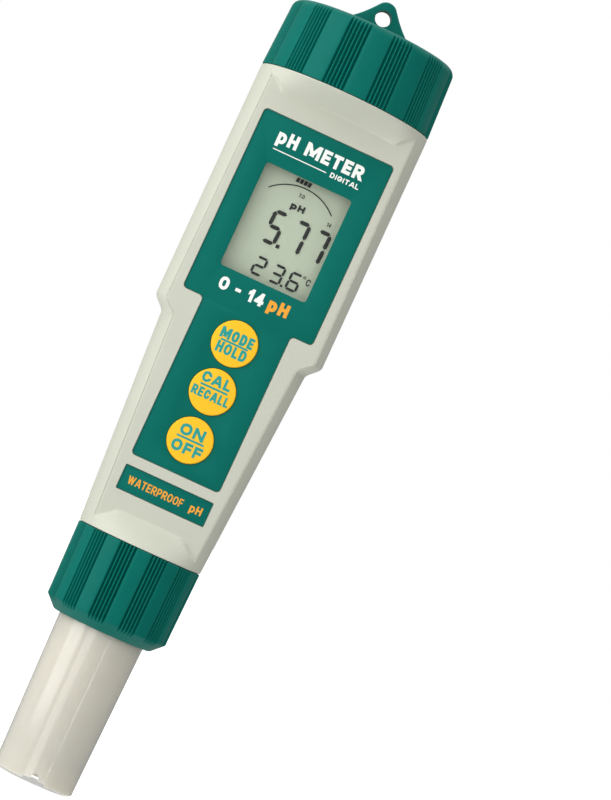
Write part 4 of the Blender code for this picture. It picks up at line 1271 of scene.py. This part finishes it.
# Each light's place, width, height and power
SOFTBOXES = {
    "key_softbox": ((-150.0, -90.0, 120.0), 120.0, 260.0, 0.2),
    "tall_softbox": ((-310.0, -845.0, 150.0), 330.0, 900.0, 1.7),
    "strip_softbox": ((350.0, -610.0, 120.0), 22.0, 600.0, 0.3),
}


def softbox(name, place, width, height, power):
    """A soft light that faces the middle of the meter."""
    lamp = bpy.data.lights.new(name, "AREA")
    lamp.shape = "RECTANGLE"
    lamp.size, lamp.size_y = width * MM, height * MM
    lamp.energy = power
    item = bpy.data.objects.new(name, lamp)
    bpy.context.scene.collection.objects.link(item)
    item.location = Vector(place) * MM
    item.rotation_euler = (Vector(LIT_POINT) - Vector(place)).to_track_quat("-Z", "Y").to_euler()
    item.visible_camera = False


class METER_OT_studio(bpy.types.Operator):
    """Makes the pale floor, the soft lights and the camera"""
    bl_idname = "meter.studio"
    bl_label = "Studio and camera"

    def execute(self, context):
        scene = context.scene
        scene.view_settings.view_transform = "Standard"
        self.make_floor()
        self.make_world(scene)
        for name, settings in SOFTBOXES.items():
            softbox(name, *settings)
        self.make_camera(scene)
        return {"FINISHED"}

    def make_floor(self):
        shape = bmesh.new()
        corners = [shape.verts.new((x * FLOOR_HALF, y * FLOOR_HALF, FLOOR_HEIGHT)) for x, y in
                   ((-1, -1), (1, -1), (1, 1), (-1, 1))]
        shape.faces.new(corners)
        shape.transform(Matrix.Scale(MM, 4))
        mesh = bpy.data.meshes.new("floor")
        shape.to_mesh(mesh)
        shape.free()
        made, tree, shader = new_material("paper_seamless")
        mottle(tree, shader, "F4F4F2", 0.004, 40.0)
        shader.inputs["Roughness"].default_value = 0.9
        shader.inputs["Emission Color"].default_value = (1.0, 1.0, 1.0, 1.0)
        shader.inputs["Emission Strength"].default_value = 0.4
        mesh.materials.append(made)
        floor = bpy.data.objects.new("floor", mesh)
        bpy.context.scene.collection.objects.link(floor)
        floor.visible_diffuse = False
        floor.visible_glossy = False

    def make_world(self, scene):
        """White around the studio; less of it reaches the object from its right-hand side."""
        world = bpy.data.worlds.new("studio_white")
        scene.world = world
        world.use_nodes = True
        tree = world.node_tree
        tree.nodes.clear()
        output = add(tree, "ShaderNodeOutputWorld")
        seen = add(tree, "ShaderNodeLightPath")
        mix = add(tree, "ShaderNodeMixShader", None, {"Fac": seen.outputs["Is Camera Ray"]},
                  output.inputs["Surface"])
        way = add(tree, "ShaderNodeTexCoord").outputs["Generated"]
        toward = add(tree, "ShaderNodeVectorMath", {"operation": "DOT_PRODUCT"}, {0: way})
        toward.inputs[1].default_value = Vector(BRIGHT_SIDE).normalized()
        dim, bright = STUDIO_LEVELS
        level = add(tree, "ShaderNodeMapRange", None,
                    {"Value": toward.outputs["Value"], "From Min": -1.0, "From Max": 1.0,
                     "To Min": dim, "To Max": bright})
        axes = add(tree, "ShaderNodeSeparateXYZ", None, {0: way})
        square = add(tree, "ShaderNodeMath", {"operation": "MULTIPLY"},
                     {0: axes.outputs["Z"], 1: axes.outputs["Z"]})
        total = add(tree, "ShaderNodeMath", {"operation": "MULTIPLY_ADD"},
                    {0: square.outputs[0], 1: OVERHEAD_LEVEL, 2: level.outputs["Result"]})
        add(tree, "ShaderNodeBackground", None, {"Strength": total.outputs[0]}, mix.inputs[1])
        add(tree, "ShaderNodeBackground", None, {"Color": (1.0, 1.0, 1.0, 1.0)}, mix.inputs[2])

    def make_camera(self, scene):
        place = Vector((CAMERA_ACROSS, 0.0, CAMERA_HEIGHT))
        place.y = -math.sqrt(CAMERA_DISTANCE ** 2 - CAMERA_ACROSS ** 2)
        ahead = (AIM - place).normalized()
        level_right = ahead.cross(Vector((0.0, 0.0, 1.0))).normalized()
        level_up = level_right.cross(ahead)
        right = math.cos(ROLL) * level_right + math.sin(ROLL) * level_up
        up = -math.sin(ROLL) * level_right + math.cos(ROLL) * level_up
        turn = Matrix((right, up, -ahead)).transposed().to_4x4()
        data = bpy.data.cameras.new("studio_camera")
        data.lens = LENS_LENGTH
        data.sensor_width = SENSOR
        data.clip_start, data.clip_end = 0.01, 20.0
        camera = bpy.data.objects.new("studio_camera", data)
        camera.matrix_world = Matrix.Translation(place * MM) @ turn
        scene.collection.objects.link(camera)
        scene.camera = camera


OPERATORS = (METER_OT_studio, METER_OT_inner_parts, METER_OT_body, METER_OT_panel, METER_OT_keys,
             METER_OT_display, METER_OT_battery_cap, METER_OT_collar, METER_OT_electrode)


class METER_PT_tools(bpy.types.Panel):
    """Lists the meter's sizes, colours and the steps that make it"""
    bl_idname = "METER_PT_tools"
    bl_label = "Pocket pH Meter"
    bl_space_type = "VIEW_3D"
    bl_region_type = "UI"
    bl_category = "pH Meter"

    def draw(self, context):
        layout = self.layout
        for group in (context.scene.meter_sizes, context.scene.meter_colours):
            box = layout.box()
            for name in group.__annotations__:
                box.prop(group, name)
        for operator in OPERATORS:
            layout.operator(operator.bl_idname)


CLASSES = (MeterSizes, MeterColours, *OPERATORS, METER_PT_tools)


def register():
    for item in CLASSES:
        bpy.utils.register_class(item)
    bpy.types.Scene.meter_sizes = bpy.props.PointerProperty(type=MeterSizes)
    bpy.types.Scene.meter_colours = bpy.props.PointerProperty(type=MeterColours)


def unregister():
    del bpy.types.Scene.meter_colours
    del bpy.types.Scene.meter_sizes
    for item in reversed(CLASSES):
        bpy.utils.unregister_class(item)


def main():
    register()
    bpy.ops.meter.studio()
    bpy.ops.meter.inner_parts()
    bpy.ops.meter.body()
    bpy.ops.meter.panel()
    bpy.ops.meter.keys()
    bpy.ops.meter.display()
    bpy.ops.meter.battery_cap()
    bpy.ops.meter.collar()
    bpy.ops.meter.electrode()
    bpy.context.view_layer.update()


if __name__ == "__main__":
    main()
